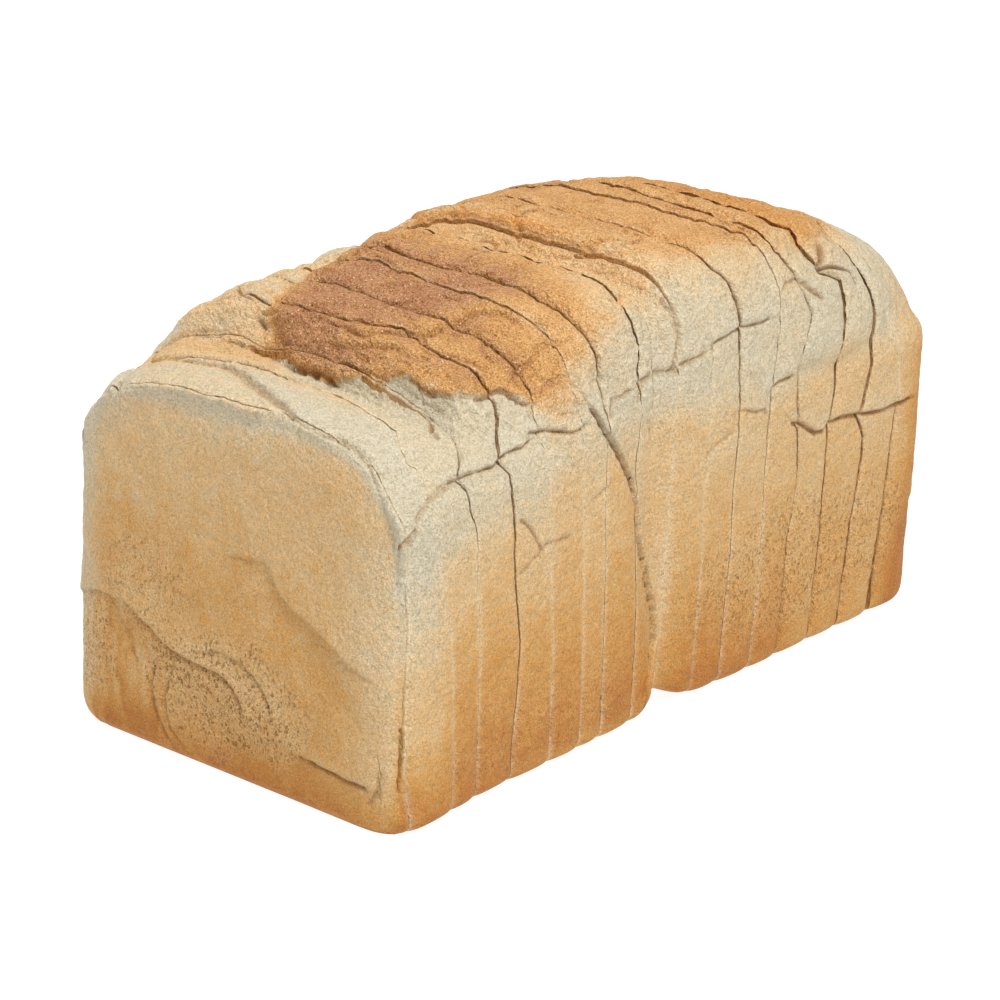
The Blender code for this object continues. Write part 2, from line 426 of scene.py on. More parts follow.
@dataclass(frozen=True)
class PhotoView:
    """The camera: where it stands, and which point of the loaf a pixel of the 1000 x 1000 photograph shows."""

    azimuth: float = 42.2
    elevation: float = 21.5
    distance: float = 1152.91
    focal_pixels: float = 4500.0
    shift_right: float = -1.73
    shift_up: float = 37.9
    origin: tuple[float, float, float] = (0.0, 1.5, 0.0)
    picture: float = 1000.0

    def axes(self) -> tuple[np.ndarray, np.ndarray, np.ndarray]:
        """Directions right, up and back of the camera."""
        az, el = math.radians(self.azimuth), math.radians(self.elevation)
        back = np.array([math.sin(az) * math.cos(el), -math.cos(az) * math.cos(el), math.sin(el)])
        right = np.array([math.cos(az), math.sin(az), 0.0])
        return right, np.cross(back, right), back

    def eye(self) -> np.ndarray:
        """Where the camera stands, in the loaf's frame."""
        right, up, back = self.axes()
        return np.array(self.origin) + back * self.distance + right * self.shift_right + up * self.shift_up

    def ray(self, pixel: tuple[float, float]) -> np.ndarray:
        """Direction in which a pixel looks.

        Args:
            pixel: Column and row in the photograph.

        Returns:
            A unit vector.
        """
        right, up, back = self.axes()
        middle = self.picture / 2.0
        way = right * (pixel[0] - middle) - up * (pixel[1] - middle) - back * self.focal_pixels
        return way / np.linalg.norm(way)

    def place_camera(self) -> None:
        """Make the camera and look through it."""
        right, up, back = self.axes()
        lens = bpy.data.cameras.new("camera")
        lens.sensor_width = 36.0
        lens.lens = 36.0 * self.focal_pixels / self.picture
        lens.clip_end = 50.0
        camera = bpy.data.objects.new("camera", lens)
        turn = Matrix([right, up, back]).transposed().to_4x4()
        camera.matrix_world = Matrix.Translation(Vector((self.eye() - BOX_CENTRE) * MM)) @ turn
        bpy.context.scene.collection.objects.link(camera)
        bpy.context.scene.camera = camera


class Surface:
    """The loaf's plain form as one surface that a pixel's ray can hit."""

    around: int = 120
    end_steps: tuple[float, ...] = (0.0, 0.3, 0.9, 1.9, 3.2, 5.0, 7.5, 10.5, 14.0, 19.0)
    face_shares: tuple[float, ...] = (0.02, 0.3, 0.6, 0.85, 0.97)

    def __init__(self, view: PhotoView) -> None:
        """Build the form.

        Args:
            view: Whose pixels are cast.
        """
        end = FORM.length / 2.0
        steps = np.array(self.end_steps)
        places = np.concatenate([steps - end, np.arange(24.0 - end, end - 20.0, 4.0), (end - steps)[::-1]])
        rings = list(FORM.outlines(places, self.around, 1.0))
        for ring, way in ((rings[0], 1.0), (rings[-1], -1.0)):
            centre = ring.mean(axis=0)
            inner = []
            for share in self.face_shares:
                spot = centre + (ring - centre) * share
                spot[:, 1] = ring[0, 1] - way * FACE_DOME * (1.0 - share ** 2)
                inner.append(spot)
            rings = inner + rings if way > 0.0 else rings + inner[::-1]
        points = np.concatenate(rings)
        points[:, 1] += FORM.lean(points)
        faces = []
        for ring in range(len(rings) - 1):
            for place in range(self.around):
                corner = ring * self.around + place
                beside = ring * self.around + (place + 1) % self.around
                faces.append((corner, beside, beside + self.around, corner + self.around))
        self.tree = BVHTree.FromPolygons([tuple(point) for point in points], faces)
        self.view = view

    def line(self, pixels: tuple[tuple[float, float], ...]) -> np.ndarray:
        """A traced line laid on the loaf.

        Args:
            pixels: The line's points in the photograph.

        Returns:
            The points in the loaf's frame, without those that miss it.
        """
        eye = Vector(self.view.eye())
        hits = [self.tree.ray_cast(eye, Vector(self.view.ray(pixel)))[0] for pixel in pixels]
        return np.array([tuple(hit) for hit in hits if hit is not None])

    def moved(self, line: np.ndarray, turn: tuple[float, float, float], along: float) -> np.ndarray:
        """A line copied to a side that the photograph doesn't show.

        Args:
            line: Its points.
            turn: What each axis is multiplied by.
            along: How far the copy is then moved along the loaf.

        Returns:
            The points, on the loaf.
        """
        spots = line * np.array(turn) + np.array([0.0, along, 0.0])
        return np.array([tuple(self.tree.find_nearest(Vector(spot))[0]) for spot in spots])


def near_line(points: np.ndarray, normals: np.ndarray, line: np.ndarray, reach: float) -> tuple:
    """How points lie to a line on the crust.

    Args:
        points: Places in the loaf's frame.
        normals: Which way the crust faces at each.
        line: The line's points.
        reach: How far off it still matters.

    Returns:
        The rows within reach, their distance, and their offset to its left (+) or right (-).
    """
    low, high = line.min(axis=0) - reach, line.max(axis=0) + reach
    rows = np.flatnonzero(((points > low) & (points < high)).all(axis=1))
    spots, facing = points[rows], normals[rows]
    nearest = np.full(len(rows), 1e9)
    side = np.zeros(len(rows))
    for start, end in zip(line[:-1], line[1:]):
        along = end - start
        length = np.linalg.norm(along) + 1e-9
        share = np.clip((spots - start) @ along / length ** 2, 0.0, 1.0)
        off = spots - start - share[:, None] * along
        distance = np.linalg.norm(off, axis=1)
        closer = distance < nearest
        left = np.cross(facing, along / length)
        side = np.where(closer, (off * left).sum(axis=1), side)
        nearest = np.minimum(nearest, distance)
    return rows, nearest, side


@dataclass(frozen=True)
class Crease:
    """A broad valley in the dough, in the loaf's frame."""

    name: str
    points: tuple[tuple[float, float, float], ...]
    deep: float
    wide: float


CREASES = (
    Crease("crown_left_edge", ((-12, -75, 102), (-23, -55, 104), (-28, -37, 106), (-36, -10, 105)), 3, 4),
    Crease("crown_front_edge", ((-18, -69, 99), (4, -77, 96), (28, -76, 96), (56, -67, 91)), 2, 4),
    Crease("front_shoulder_tear", ((55, -68, 90), (58, -52, 92), (60, -36, 94), (60, -24, 97)), 2, 4),
    Crease("lobe_seam_right", ((58, -27, 94), (58, -20, 80), (58, -11, 60), (58, -5, 28), (56, -2, 4)), 1.6, 3.4),
    Crease("lobe_seam_left", ((-50, -18, 95), (-58, -16, 80), (-58, -8, 34), (-56, -9, 6)), 3, 3.8),
    Crease("rear_side_fold", ((64, 47, 78), (64, 58, 76), (64, 70, 80), (63, 82, 82), (60, 92, 86)), 1.8, 4.5),
    Crease("rear_crown_notch", ((50, 69, 108), (56, 67, 103), (62, 64, 96)), 2.4, 4.5),
    Crease("heel_low_crease", ((-52, -101, 40), (-38, -101, 33), (-26, -101, 22), (8, -101, 10)), 0.9, 5),
    Crease("heel_side_crease", ((12, -100, 60), (20, -101, 48), (34, -101, 36), (46, -101, 26)), 0.5, 4),
    Crease("heel_edge_fold", ((50, -96, 84), (56, -95, 60), (58, -95, 34), (58, -95, 8)), 1.8, 4),
)


@dataclass(frozen=True)
class Fold:
    """A crease, lap or tear in the crust, in the photograph's pixels.

    The crust to the left of the line, seen along it, can lap over the other side.
    """

    name: str
    pixels: tuple[tuple[float, float], ...]
    deep: float
    wide: float
    lap: float
    lap_reach: float
    # How dark the painted shade along the line's floor is, 0 to 1.
    hollow_shade: float


# Each fold: name, traced pixels, depth, width, lap, lap reach, and the strength of the painted shade along it.
FOLDS = (
    Fold("heel_curl", ((83, 590), (98, 590), (111, 599), (124, 600), (137, 613), (150, 626), (163, 642), (176, 653),
                       (199, 665), (218, 674), (231, 687), (241, 707)), 1.2, 0.8, 0.9, 5.0, 0.9),
    Fold("heel_curl_low", ((205, 652), (221, 652), (238, 661), (254, 678), (264, 694), (270, 713)),
         0.7, 0.8, 0.5, 3.0, 0.6),
    Fold("heel_crack", ((242, 515), (247, 531), (252, 561), (251, 580), (238, 590)), 1.4, 0.6, 0.5, 4, 0.9),
    Fold("heel_skin_edge", ((252, 559), (264, 561), (270, 570), (280, 596), (290, 609), (303, 618), (322, 635),
                            (335, 648), (348, 661)), 1.3, 0.6, 1.2, 5.0, 0.9),
    Fold("heel_low_right", ((299, 756), (322, 769), (335, 775), (348, 782), (364, 788)), 0.7, 0.8, 0.5, 4, 0.6),
    Fold("heel_corner", ((381, 775), (377, 792), (368, 805)), 0.7, 1, 0, 4, 0.4),
    Fold("heel_edge_turn", ((418, 538), (407, 548), (403, 561)), 1, 1, 0.4, 4, 0.45),
    Fold("heel_edge_low", ((416, 727), (416, 775), (410, 788)), 0.9, 0.9, 0, 4, 0.3),
    Fold("heel_wrinkle_a", ((153, 665), (150, 684), (155, 710), (163, 730), (182, 753), (199, 766)),
         0.6, 1.0, 0.3, 3.0, 0.3),
    Fold("heel_wrinkle_b", ((176, 658), (169, 674), (163, 697), (169, 727), (186, 749)), 0.5, 0.9, 0.2, 3, 0.25),
    Fold("heel_wrinkle_c", ((116, 603), (117, 613), (125, 632), (135, 660)), 0.5, 1, 0.2, 3, 0.3),
    Fold("heel_top_roll", ((111, 396), (143, 392), (163, 393), (186, 393), (202, 401), (221, 408), (244, 415),
                           (257, 416), (283, 413)), 1.5, 1.0, -1.1, 6.0, 0.40),
    Fold("heel_top_right", ((283, 413), (303, 424), (322, 434), (342, 442), (355, 450), (368, 463), (379, 483),
                            (384, 496), (390, 515), (389, 528)), 1.1, 1.2, 0.9, 5.0, 0.15),
    Fold("roll_top", ((120, 388), (150, 362), (182, 361), (212, 366), (238, 379), (257, 390), (270, 398),
                      (283, 409)), 1.6, 1.1, 1.2, 5.0, 0.30),
    Fold("strip_low", ((244, 346), (266, 354), (285, 365), (312, 374), (323, 379)), 1.6, 1.1, 0.8, 4, 0.75),
    Fold("cap_low", ((405, 382), (422, 396), (441, 400), (471, 401), (490, 394), (504, 398), (532, 402)),
         1.1, 0.7, 0.6, 4.0, 0.55),
    Fold("ledge_groove", ((252, 324), (251, 316), (257, 305), (268, 300), (285, 291), (296, 280), (320, 272),
                          (340, 261), (351, 256), (373, 245), (384, 242)), 1.8, 1.4, -0.5, 6.0, 0.30),
    Fold("ledge_cut_a", ((238, 290), (252, 296), (266, 302)), 1, 0.7, 0.3, 3, 0.5),
    Fold("ledge_cut_b", ((279, 270), (293, 278), (297, 283)), 1, 0.8, 0.3, 3, 0.3),
    Fold("ledge_cut_c", ((310, 256), (337, 256), (342, 260)), 1, 0.7, 0.3, 3, 0.4),
    Fold("ledge_cut_d", ((342, 256), (359, 248), (379, 242)), 1, 0.7, 0.3, 3, 0.4),
    Fold("crown_dent_a", ((378, 256), (395, 263), (405, 270)), 0.7, 1.3, 0.3, 4, 0.25),
    Fold("crown_dent_b", ((384, 283), (400, 278), (414, 278), (433, 285)), 0.6, 1.3, 0.3, 4, 0.2),
    Fold("crown_dent_c", ((463, 249), (477, 253), (485, 249)), 0.9, 1.1, 0.3, 4, 0.45),
    Fold("crown_dent_d", ((452, 291), (460, 294), (468, 296)), 0.7, 0.6, 0, 3, 0.55),
    Fold("crown_fold_a", ((466, 319), (485, 308), (504, 308), (520, 318)), 0.9, 1.6, 0.9, 6, 0.16),
    Fold("crown_fold_b", ((334, 322), (362, 338), (384, 333), (405, 335), (422, 338), (438, 333), (449, 326)),
         1.1, 1.6, 1.0, 6.0, 0.28),
    Fold("crown_fold_c", ((422, 339), (433, 352), (449, 357), (469, 368)), 0.8, 1.4, 0.7, 6, 0.2),
    Fold("crown_fold_d", ((330, 349), (350, 352), (375, 348), (400, 352)), 0.8, 1.5, 0.7, 6, 0.16),
    Fold("rear_mark_a", ((521, 219), (528, 214), (536, 213)), 0.9, 0.8, 0.3, 3, 0.6),
    Fold("rear_mark_b", ((622, 249), (630, 246), (635, 241)), 0.8, 0.8, 0.3, 3, 0.45),
    Fold("shoulder_shelf", ((459, 478), (472, 474), (487, 468), (502, 463), (514, 451), (529, 445), (537, 438)),
         1.1, 0.8, 0.9, 5.0, 0.35),
    Fold("shoulder_shelf_b", ((537, 429), (552, 428), (571, 431), (583, 426)), 1, 0.6, 0.7, 4, 0.4),
    Fold("shoulder_fold_d", ((457, 483), (445, 495), (435, 506), (426, 518)), 0.9, 1.2, 0.4, 4, 0.25),
    Fold("shoulder_fold_e", ((424, 527), (414, 539), (409, 547), (403, 556)), 1, 1, 0.5, 4, 0.4),
    Fold("shoulder_nick_a", ((418, 411), (426, 424), (428, 430)), 1, 0.5, 0.3, 3, 0.6),
    Fold("shoulder_nick_b", ((432, 434), (435, 438)), 0.8, 0.5, 0, 3, 0.5),
    Fold("side_wrinkle_a", ((520, 522), (533, 531), (543, 545), (546, 549)), 0.6, 0.7, 0.3, 3, 0.4),
    Fold("side_wrinkle_b", ((548, 543), (560, 539), (571, 537)), 0.5, 0.8, 0.2, 3, 0.25),
    Fold("side_wrinkle_c", ((546, 549), (533, 560), (519, 575)), 0.4, 0.7, 0.2, 3, 0.3),
    Fold("side_wrinkle_d", ((595, 500), (605, 492), (612, 482)), 0.4, 0.8, 0.2, 3, 0.2),
    Fold("seam", ((592, 408), (600, 422), (610, 441), (621, 459), (631, 478), (637, 503), (638, 540), (644, 570),
                  (652, 610), (655, 640), (650, 668)), 1.3, 0.6, 1.6, 7.0, 0.30),
    Fold("lobe_tip_a", ((638, 401), (640, 384), (655, 373), (673, 370), (679, 371), (691, 365), (704, 358)),
         1.0, 0.9, -0.7, 5.0, 0.4),
    Fold("lobe_tip_b", ((610, 417), (615, 403), (631, 391)), 0.8, 0.8, -0.5, 4, 0.35),
    Fold("lobe_dent", ((660, 300), (671, 312), (678, 335), (679, 342), (673, 369)), 0.9, 0.8, 0.4, 4, 0.35),
    Fold("back_fold_a", ((715, 344), (727, 336), (738, 329), (748, 327), (763, 320)), 0.9, 0.8, 0.6, 4, 0.4),
    Fold("back_fold_b", ((777, 291), (782, 285), (794, 279), (800, 276)), 0.8, 0.7, 0.4, 3, 0.45),
    Fold("back_fold_c", ((771, 389), (779, 382), (798, 373)), 0.9, 0.8, 0.6, 4, 0.5),
    Fold("back_fold_d", ((798, 421), (805, 426), (817, 432), (825, 430), (830, 423), (842, 417), (859, 415),
                         (874, 413), (882, 409), (893, 406), (903, 400)), 1.4, 1.0, 1.0, 5.0, 0.5),
    Fold("back_fold_e", ((742, 411), (756, 412), (765, 409), (766, 415)), 0.6, 0.7, 0.3, 3, 0.35),
    Fold("back_fold_f", ((731, 434), (717, 446), (708, 457)), 0.5, 0.8, 0.3, 3, 0.2),
    Fold("back_top_fold", ((805, 285), (811, 294), (817, 302)), 1, 0.9, 0.5, 4, 0.5),
    Fold("back_shelf", ((823, 271), (832, 271), (844, 279), (848, 289)), 1.3, 0.9, 0.7, 4, 0.5),
    Fold("crown_notch", ((823, 247), (826, 262), (825, 268)), 1.6, 1, 0.5, 4, 0.7),
)
CAP_EDGE = ((236, 341), (244, 346), (266, 354), (285, 365), (312, 374), (323, 379), (351, 376), (378, 381), (405, 383),
            (422, 396), (441, 400), (471, 401), (490, 395), (504, 399), (532, 402), (545, 396), (558, 386),
            (566, 371), (574, 352), (586, 338), (600, 322), (622, 308))
CAP_REST = ((50, -5), (54, 4), (55, 23), (55, 41), (54, 54), (50, 66), (42, 80), (20, 90), (-20, 92), (-40, 84),
            (-46, 60), (-48, 30), (-50, 0), (-50, -30), (-48, -66), (-36, -72))


def inside(x: np.ndarray, y: np.ndarray, corners: np.ndarray) -> np.ndarray:
    """How far points lie inside a closed outline.

    Args:
        x: Their x.
        y: Their y.
        corners: The outline's corners.

    Returns:
        Distances to it, positive inside.
    """
    nearest = np.full(len(x), 1e9)
    crossings = np.zeros(len(x), dtype=bool)
    for (x0, y0), (x1, y1) in zip(corners, np.roll(corners, -1, axis=0)):
        dx, dy = x1 - x0, y1 - y0
        share = np.clip(((x - x0) * dx + (y - y0) * dy) / (dx * dx + dy * dy), 0.0, 1.0)
        nearest = np.minimum(nearest, np.hypot(x - x0 - share * dx, y - y0 - share * dy))
        spans = (y0 > y) != (y1 > y)
        crossings ^= spans & (x < x0 + dx * (y - y0) / (dy if dy else 1e-9))
    return np.where(crossings, nearest, -nearest)


CAP_WIDER = (
    Patch("front_lobe_right", 4, (("y", -50, -36), ("y", 6, -8), ("x", 20, 40))),
)
CAP_SOFTNESS = (
    Patch("torn_edge", 0.7),
    Patch("front_lobe_back", 9, (("y", -50, -36),)),
    Patch("rear_lobe", 3, (("y", -20, 4),)),
    Patch("left_side", 3, (("x", -20, -40),)),
)
TORN = Patch("torn", 1, (("z", 80, 90), ("y", 0, -20), ("left_slant", -70, -30)),
             (("short_of_cap", 0.0, 5.0),), ("off_cap",))
SHRED = Patch("shred", 1, (("cap_depth", -24, -4), ("z", 70, 84)), (), ("off_cap", "off_face"))
PLATEAU = Patch("plateau", 1, (("past_plateau_left", -2.5, 4.5), ("y", -80, -72), ("y", 6, -8)),
                (), ("capped",))
FRONT_LOBE = ("y", 8, -10)
REAR_LOBE = ("y", -10, 8)
DARK_EDGES = (("short_of_plateau_right", -14, 17), ("front_slant", -80, -70), ("past_plateau_left", 0, 12))
DARK = (
    Patch("dark_back", 0.3, DARK_EDGES, (), ("plateau",)),
    Patch("dark_front", 0.7, DARK_EDGES + (("y", -13, -24),), (), ("plateau",)),
)
STRIP = Patch("strip", 1, (("y", -84, -79), ("y", -69, -73), ("z", 80, 88), ("x", 6, -14),
                             ("x", -54, -46)))
STRIP_BAKE = 0.42
RELIEF = (
    Patch("swell", 0.55, shares=("broad",)),
    Patch("dents", 0.20, shares=("middling",)),
    Patch("dents_on_top", 0.30, shares=("middling", "facing_up")),
    Patch("sunk_at_cuts", -0.32, shares=("open_cut",)),
    Patch("sunk_at_cuts_high", -0.48, (("z", 76, 95),), (), ("open_cut",)),
    Patch("sunk_at_cuts_low", -0.35, (("z", 40, 4),), (), ("at_cut",)),
    Patch("crown_wrinkles", -1, shares=("wrinkle", "capped")),
    Patch("crown_lumps", 0.48, shares=("lumps", "capped")),
    Patch("crown_grain", 0.16, shares=("fine", "capped")),
    Patch("grain", 0.13, shares=("fine",)),
    Patch("torn_pieces", 0.9, shares=("torn", "tear")),
    Patch("torn_sunk", -0.5, shares=("torn",)),
    Patch("torn_fibres", 0.35, shares=("torn", "fibre")),
    Patch("shred_pieces", 0.30, shares=("shred", "tear")),
    Patch("shred_fibres", 0.14, shares=("shred", "fibre")),
    Patch("flour", 0.15, shares=("flour",)),
    Patch("cap_rim", 0.7, (("y", 10, -20),), (), ("capped", "at_cap_edge")),
    Patch("pores", -0.12, (("pits", 0.45, 0.15),), (), ("pores",)),
)
# Painted shade in the hollows of the torn dough, laid under the painted shade along the folds.
TORN_HOLLOW_SHADE = Patch("torn_hollow_shade", 0.14, (("tear", -0.15, -0.5),), (), ("torn",))
SIDE_BAKE = (
    Patch("pale_shoulder", 0.14),
    Patch("below_shoulder", 0.26, (("over_pale", 4, -9),)),
    Patch("down_the_side", 0.30, (("over_deep", 0.85, -0.15),)),
    Patch("low", 0.112, (("lift", 36, -4),)),
    Patch("low_front_lobe", 0.168, (("lift", 36, -4), ("y", 60, 20))),
    Patch("rear_end", 0.30, (("y", 78, 92), ("z", 96, 76))),
    Patch("front_end", -0.25, (("y", -78, -87), ("z", 0, 25))),
    Patch("front_lobe_foot", -0.26, (("z", 8, 1),), (("y", -32, 26),)),
    Patch("seam_foot", -0.20, (("z", 60, 30), ("x", -0.1, 0.1)), (("y", -3, 5),)),
    Patch("heel_roll", 0.32, (("z", 84, 92), ("y", -76, -84), ("x", 46, 10))),
    Patch("beside_crown", 0.14, (("z", 96, 106), ("y", 4, 24), ("y", 74, 60))),
    Patch("rear_lobe_foot", -0.12, (("y", 40, 62), ("y", 84, 78), ("z", 30, 6))),
)
HEEL_BAKE = (
    Patch("face", 0.43),
    Patch("below_shoulder", 0.17, (("over_heel_pale", 12, -20),)),
    # Painted light: the heel's left edge, which rounds away into shade, is made paler.
    Patch("front_left_edge_painted_light", -0.50, (("heel_x", -38, -57), ("y", 0.1, -0.1))),
    Patch("rear_right_edge", 0.25, (("y", -0.1, 0.1), ("x", 30, 50), ("z", 95, 80))),
    Patch("low_middle", 0.10, (("lift_outward", 34, 2),)),
    Patch("right_edge", -0.18, (("heel_x", 34, 56),)),
    # Darker towards the heel's foot: partly browner crust, partly painted shade against the floor's bounce light.
    Patch("foot_browning_and_shade", 0.24, (("z", 14, 2),)),
    Patch("brow", -0.08, (("brow_slant", 78, 86),)),
    Patch("front_top", -0.24, (("top_slant", 86, 91), ("y", 0.1, -0.1))),
    Patch("low_left", 0.06, shares=("low_left",)),
    Patch("low_left_streaks", 0.30, shares=("low_left", "streak")),
)
CROWN_BAKE = (
    Patch("front_lobe", 0.32, (FRONT_LOBE,)),
    Patch("plateau", 0.36, (FRONT_LOBE,), (), ("plateau",)),
    Patch("dark", 0.24, (FRONT_LOBE,), (), ("dark",)),
    Patch("front_lobe_back", -0.32, (("y", -32, -16), FRONT_LOBE)),
    # Painted light: the crown's ledge left of the plateau, which faces away from the key lamp, is made paler.
    Patch("left_of_plateau_painted_light", -0.12, (("x", -10, -26), FRONT_LOBE), (), ("off_plateau",)),
    Patch("front_lobe_right", -0.15, (("y", -46, -36), ("y", 0, -12), ("x", 15, 45))),
    Patch("rear_lobe", 0.57, (REAR_LOBE,)),
    Patch("rear_lobe_right", -0.05, (REAR_LOBE, ("x", 20, 56))),
    Patch("swell", 0.05, shares=("broad",)),
)
BAKE_GRAIN = (
    Patch("dents", 0.05, shares=("middling",)),
    Patch("grain", 0.03, shares=("fine",)),
    Patch("crown_wrinkles", 0.13, shares=("wrinkle", "capped")),
    Patch("crown_lumps", 0.09, shares=("lumps", "capped")),
    # Painted highlight: the lapped lip of a fold is made paler, where its skin is also a little paler.
    Patch("lapped_lip_highlight", -0.12, shares=("lip_highlight",)),
)
GILT = (
    Patch("rear_crown", 0.5, (("z", 104, 109), ("x", -34, 6)), (("rear_slant", 61, 4.5),)),
    Patch("valley", 0.7, (("z", 90, 104), ("x", 26, 8)), (("valley_slant", -0.6, 1.5),)),
    Patch("strip", 0.15, shares=("strip",)),
)


class Crust:
    """What the oven did to the dough at each point: how it stands in or out and how brown it is, with painted shade in
    its creases and hollows and painted highlights on its lapped lips and, in part, its cut edges.
    """

    plateau_left = ((-75, -55, -37, -23, -9), (-14, -23, -28, -33, -35))
    plateau_right = ((-67, -58, -50, -39, -31, -23, -3, 5), (13, 22, 24, 30, 36, 41, 40, 45))
    pale_low = ((-101, -88, -78, -68, -57, -43, -32, -14, -4, 5, 20, 32, 40, 57, 75, 86, 101),
                (62, 67, 66, 71, 73, 76, 81, 86, 85, 81, 82, 77, 80, 84, 82, 79, 76))
    deep_low = ((-101, -86, -58, -28, 2, 31, 48, 88, 101), (34, 34, 33, 28, 29, 25, 22, 16, 16))
    heel_pale = ((-58, -40, -25, -7, 12, 26, 36, 46, 54, 60), (66, 67, 63, 63, 68, 62, 52, 43, 29, 15))
    cap_floor = 74.0
    side_mirror_from = 44.0
    fold_reach = 12.0

    def __init__(self, surface: Surface) -> None:
        """Lay the traced folds on the loaf.

        Args:
            surface: What they lie on.
        """
        self.folds = []
        for fold in FOLDS:
            line = surface.line(fold.pixels)
            self.folds.append((fold, line))
            if fold.name.startswith("heel_"):
                self.folds.append((fold, surface.moved(line, (-1.0, -1.0, 1.0), 0.0)))
            elif line[:, 0].min() > self.side_mirror_from:
                mirrored = surface.moved(line, (-1.0, 1.0, 1.0), 7.0 if line[0, 1] > 0.0 else -3.0)
                self.folds.append((replace(fold, lap=-fold.lap), mirrored))
        self.creases = [(crease, np.array(crease.points, dtype=float)) for crease in CREASES]
        self.cap = np.concatenate([surface.line(CAP_EDGE)[:, :2], np.array(CAP_REST, dtype=float)])

    def places(self, points: np.ndarray, normals: np.ndarray) -> dict[str, np.ndarray]:
        """Where points are, and the noise there.

        Args:
            points: Places in the loaf's frame.
            normals: Which way the crust faces.

        Returns:
            Measures by name.
        """
        x, y, z = points.T
        heel_x = np.where(y < 0.0, x, -x)
        broad = GRAIN.rough(points, 22.0, 2)
        middling = GRAIN.rough(points, 7.0, 2, 3.1)
        fine = GRAIN.rough(points, 2.2, 2, 5.7)
        wander = points + 2.5 * middling[:, None]
        lift = z + 3.0 * broad + 1.2 * middling
        pale_z, deep_z = np.interp(y, *self.pale_low), np.interp(y, *self.deep_low)
        face = ease(np.abs(normals[:, 1]), 0.35, 0.85)
        return {
            "x": x, "y": y, "z": z, "heel_x": heel_x, "lift": lift,
            "face": face, "off_face": 1.0 - face, "facing_up": np.clip(normals[:, 2], 0.0, 1.0),
            "broad": broad, "middling": middling, "fine": fine, "ragged": middling + 1.1 * fine,
            "wrinkle": (hump(GRAIN.soft(wander, (11.0, 9.0, 11.0), 9.2), 0.0, 0.14)
                        * ease(GRAIN.soft(points, 12.0, 4.4), -0.2, 0.25)),
            "lumps": GRAIN.soft(wander, (7.0, 4.5, 6.0), 2.2),
            "tear": GRAIN.rough(wander, (3.2, 2.6, 5.0), 3, 2.4),
            "fibre": GRAIN.soft(wander, (1.3, 0.9, 3.0), 6.1),
            "streak": GRAIN.rough(wander, (2.6, 9.0, 15.0), 2, 8.7),
            "pits": GRAIN.pits(points, 1.9, 1.3),
            "flour": (ease(GRAIN.rough(points, 7.0, 3, 2.9), 0.12, 0.60)
                      * hump(z - 0.45 * heel_x, 80.0, 10.0) * face * (y < 0.0)),
            "over_pale": lift - pale_z, "over_deep": (lift - deep_z) / (pale_z - deep_z),
            "over_heel_pale": lift - np.interp(heel_x, *self.heel_pale), "lift_outward": lift + 0.25 * np.abs(x),
            "low_left": ease(-heel_x, 6.0, 26.0) * ease(z + 0.25 * (heel_x + 60.0), 46.0, 34.0),
            "left_slant": x + 0.5 * y, "front_slant": y + 0.10 * x, "rear_slant": y + 0.05 * x,
            "valley_slant": y - 0.05 * x, "brow_slant": z - 0.12 * heel_x, "top_slant": z - 0.04 * heel_x,
        }

    def zones(self, signs: dict[str, np.ndarray]) -> None:
        """Find the crown's cap, its dark plateau, the torn dough before it, the strip and the pores.

        Args:
            signs: The measures, to which these shares are added.
        """
        x, y, z = signs["x"], signs["y"], signs["z"]
        depth = np.full(len(x), -30.0)
        high = np.flatnonzero(z > self.cap_floor)
        depth[high] = inside(x[high], y[high], self.cap) + layered(CAP_WIDER, signs)[high]
        capped = ease((depth + signs["ragged"]) / layered(CAP_SOFTNESS, signs), -0.6, 0.6)
        signs.update({"cap_depth": depth, "short_of_cap": np.minimum(depth, 0.0), "capped": capped,
                      "off_cap": 1.0 - capped, "at_cap_edge": np.exp(-np.abs(depth) / 6.0)})
        signs["torn"] = TORN.read(signs)
        signs["shred"] = SHRED.read(signs)
        signs["past_plateau_left"] = x - np.interp(y, *self.plateau_left) + 0.8 * signs["ragged"]
        signs["short_of_plateau_right"] = np.interp(y, *self.plateau_right) - x
        signs["plateau"] = PLATEAU.read(signs)
        signs["off_plateau"] = 1.0 - signs["plateau"]
        signs["dark"] = layered(DARK, signs)
        signs["strip"] = STRIP.read(signs)
        pores = np.zeros(len(x))
        for zone in PORES:
            along = signs["heel_x"] if zone.on_heel else y
            off = ((along - zone.middle[0]) / zone.wide) ** 2 + ((z - zone.middle[1]) / zone.tall) ** 2
            here = signs["face"] if zone.on_heel else signs["off_face"] * ease(np.abs(x), 44.0, 52.0)
            pores = np.maximum(pores, zone.strong * here * ease(1.2 - off + 0.5 * signs["middling"], 0.0, 0.9))
        signs["pores"] = pores

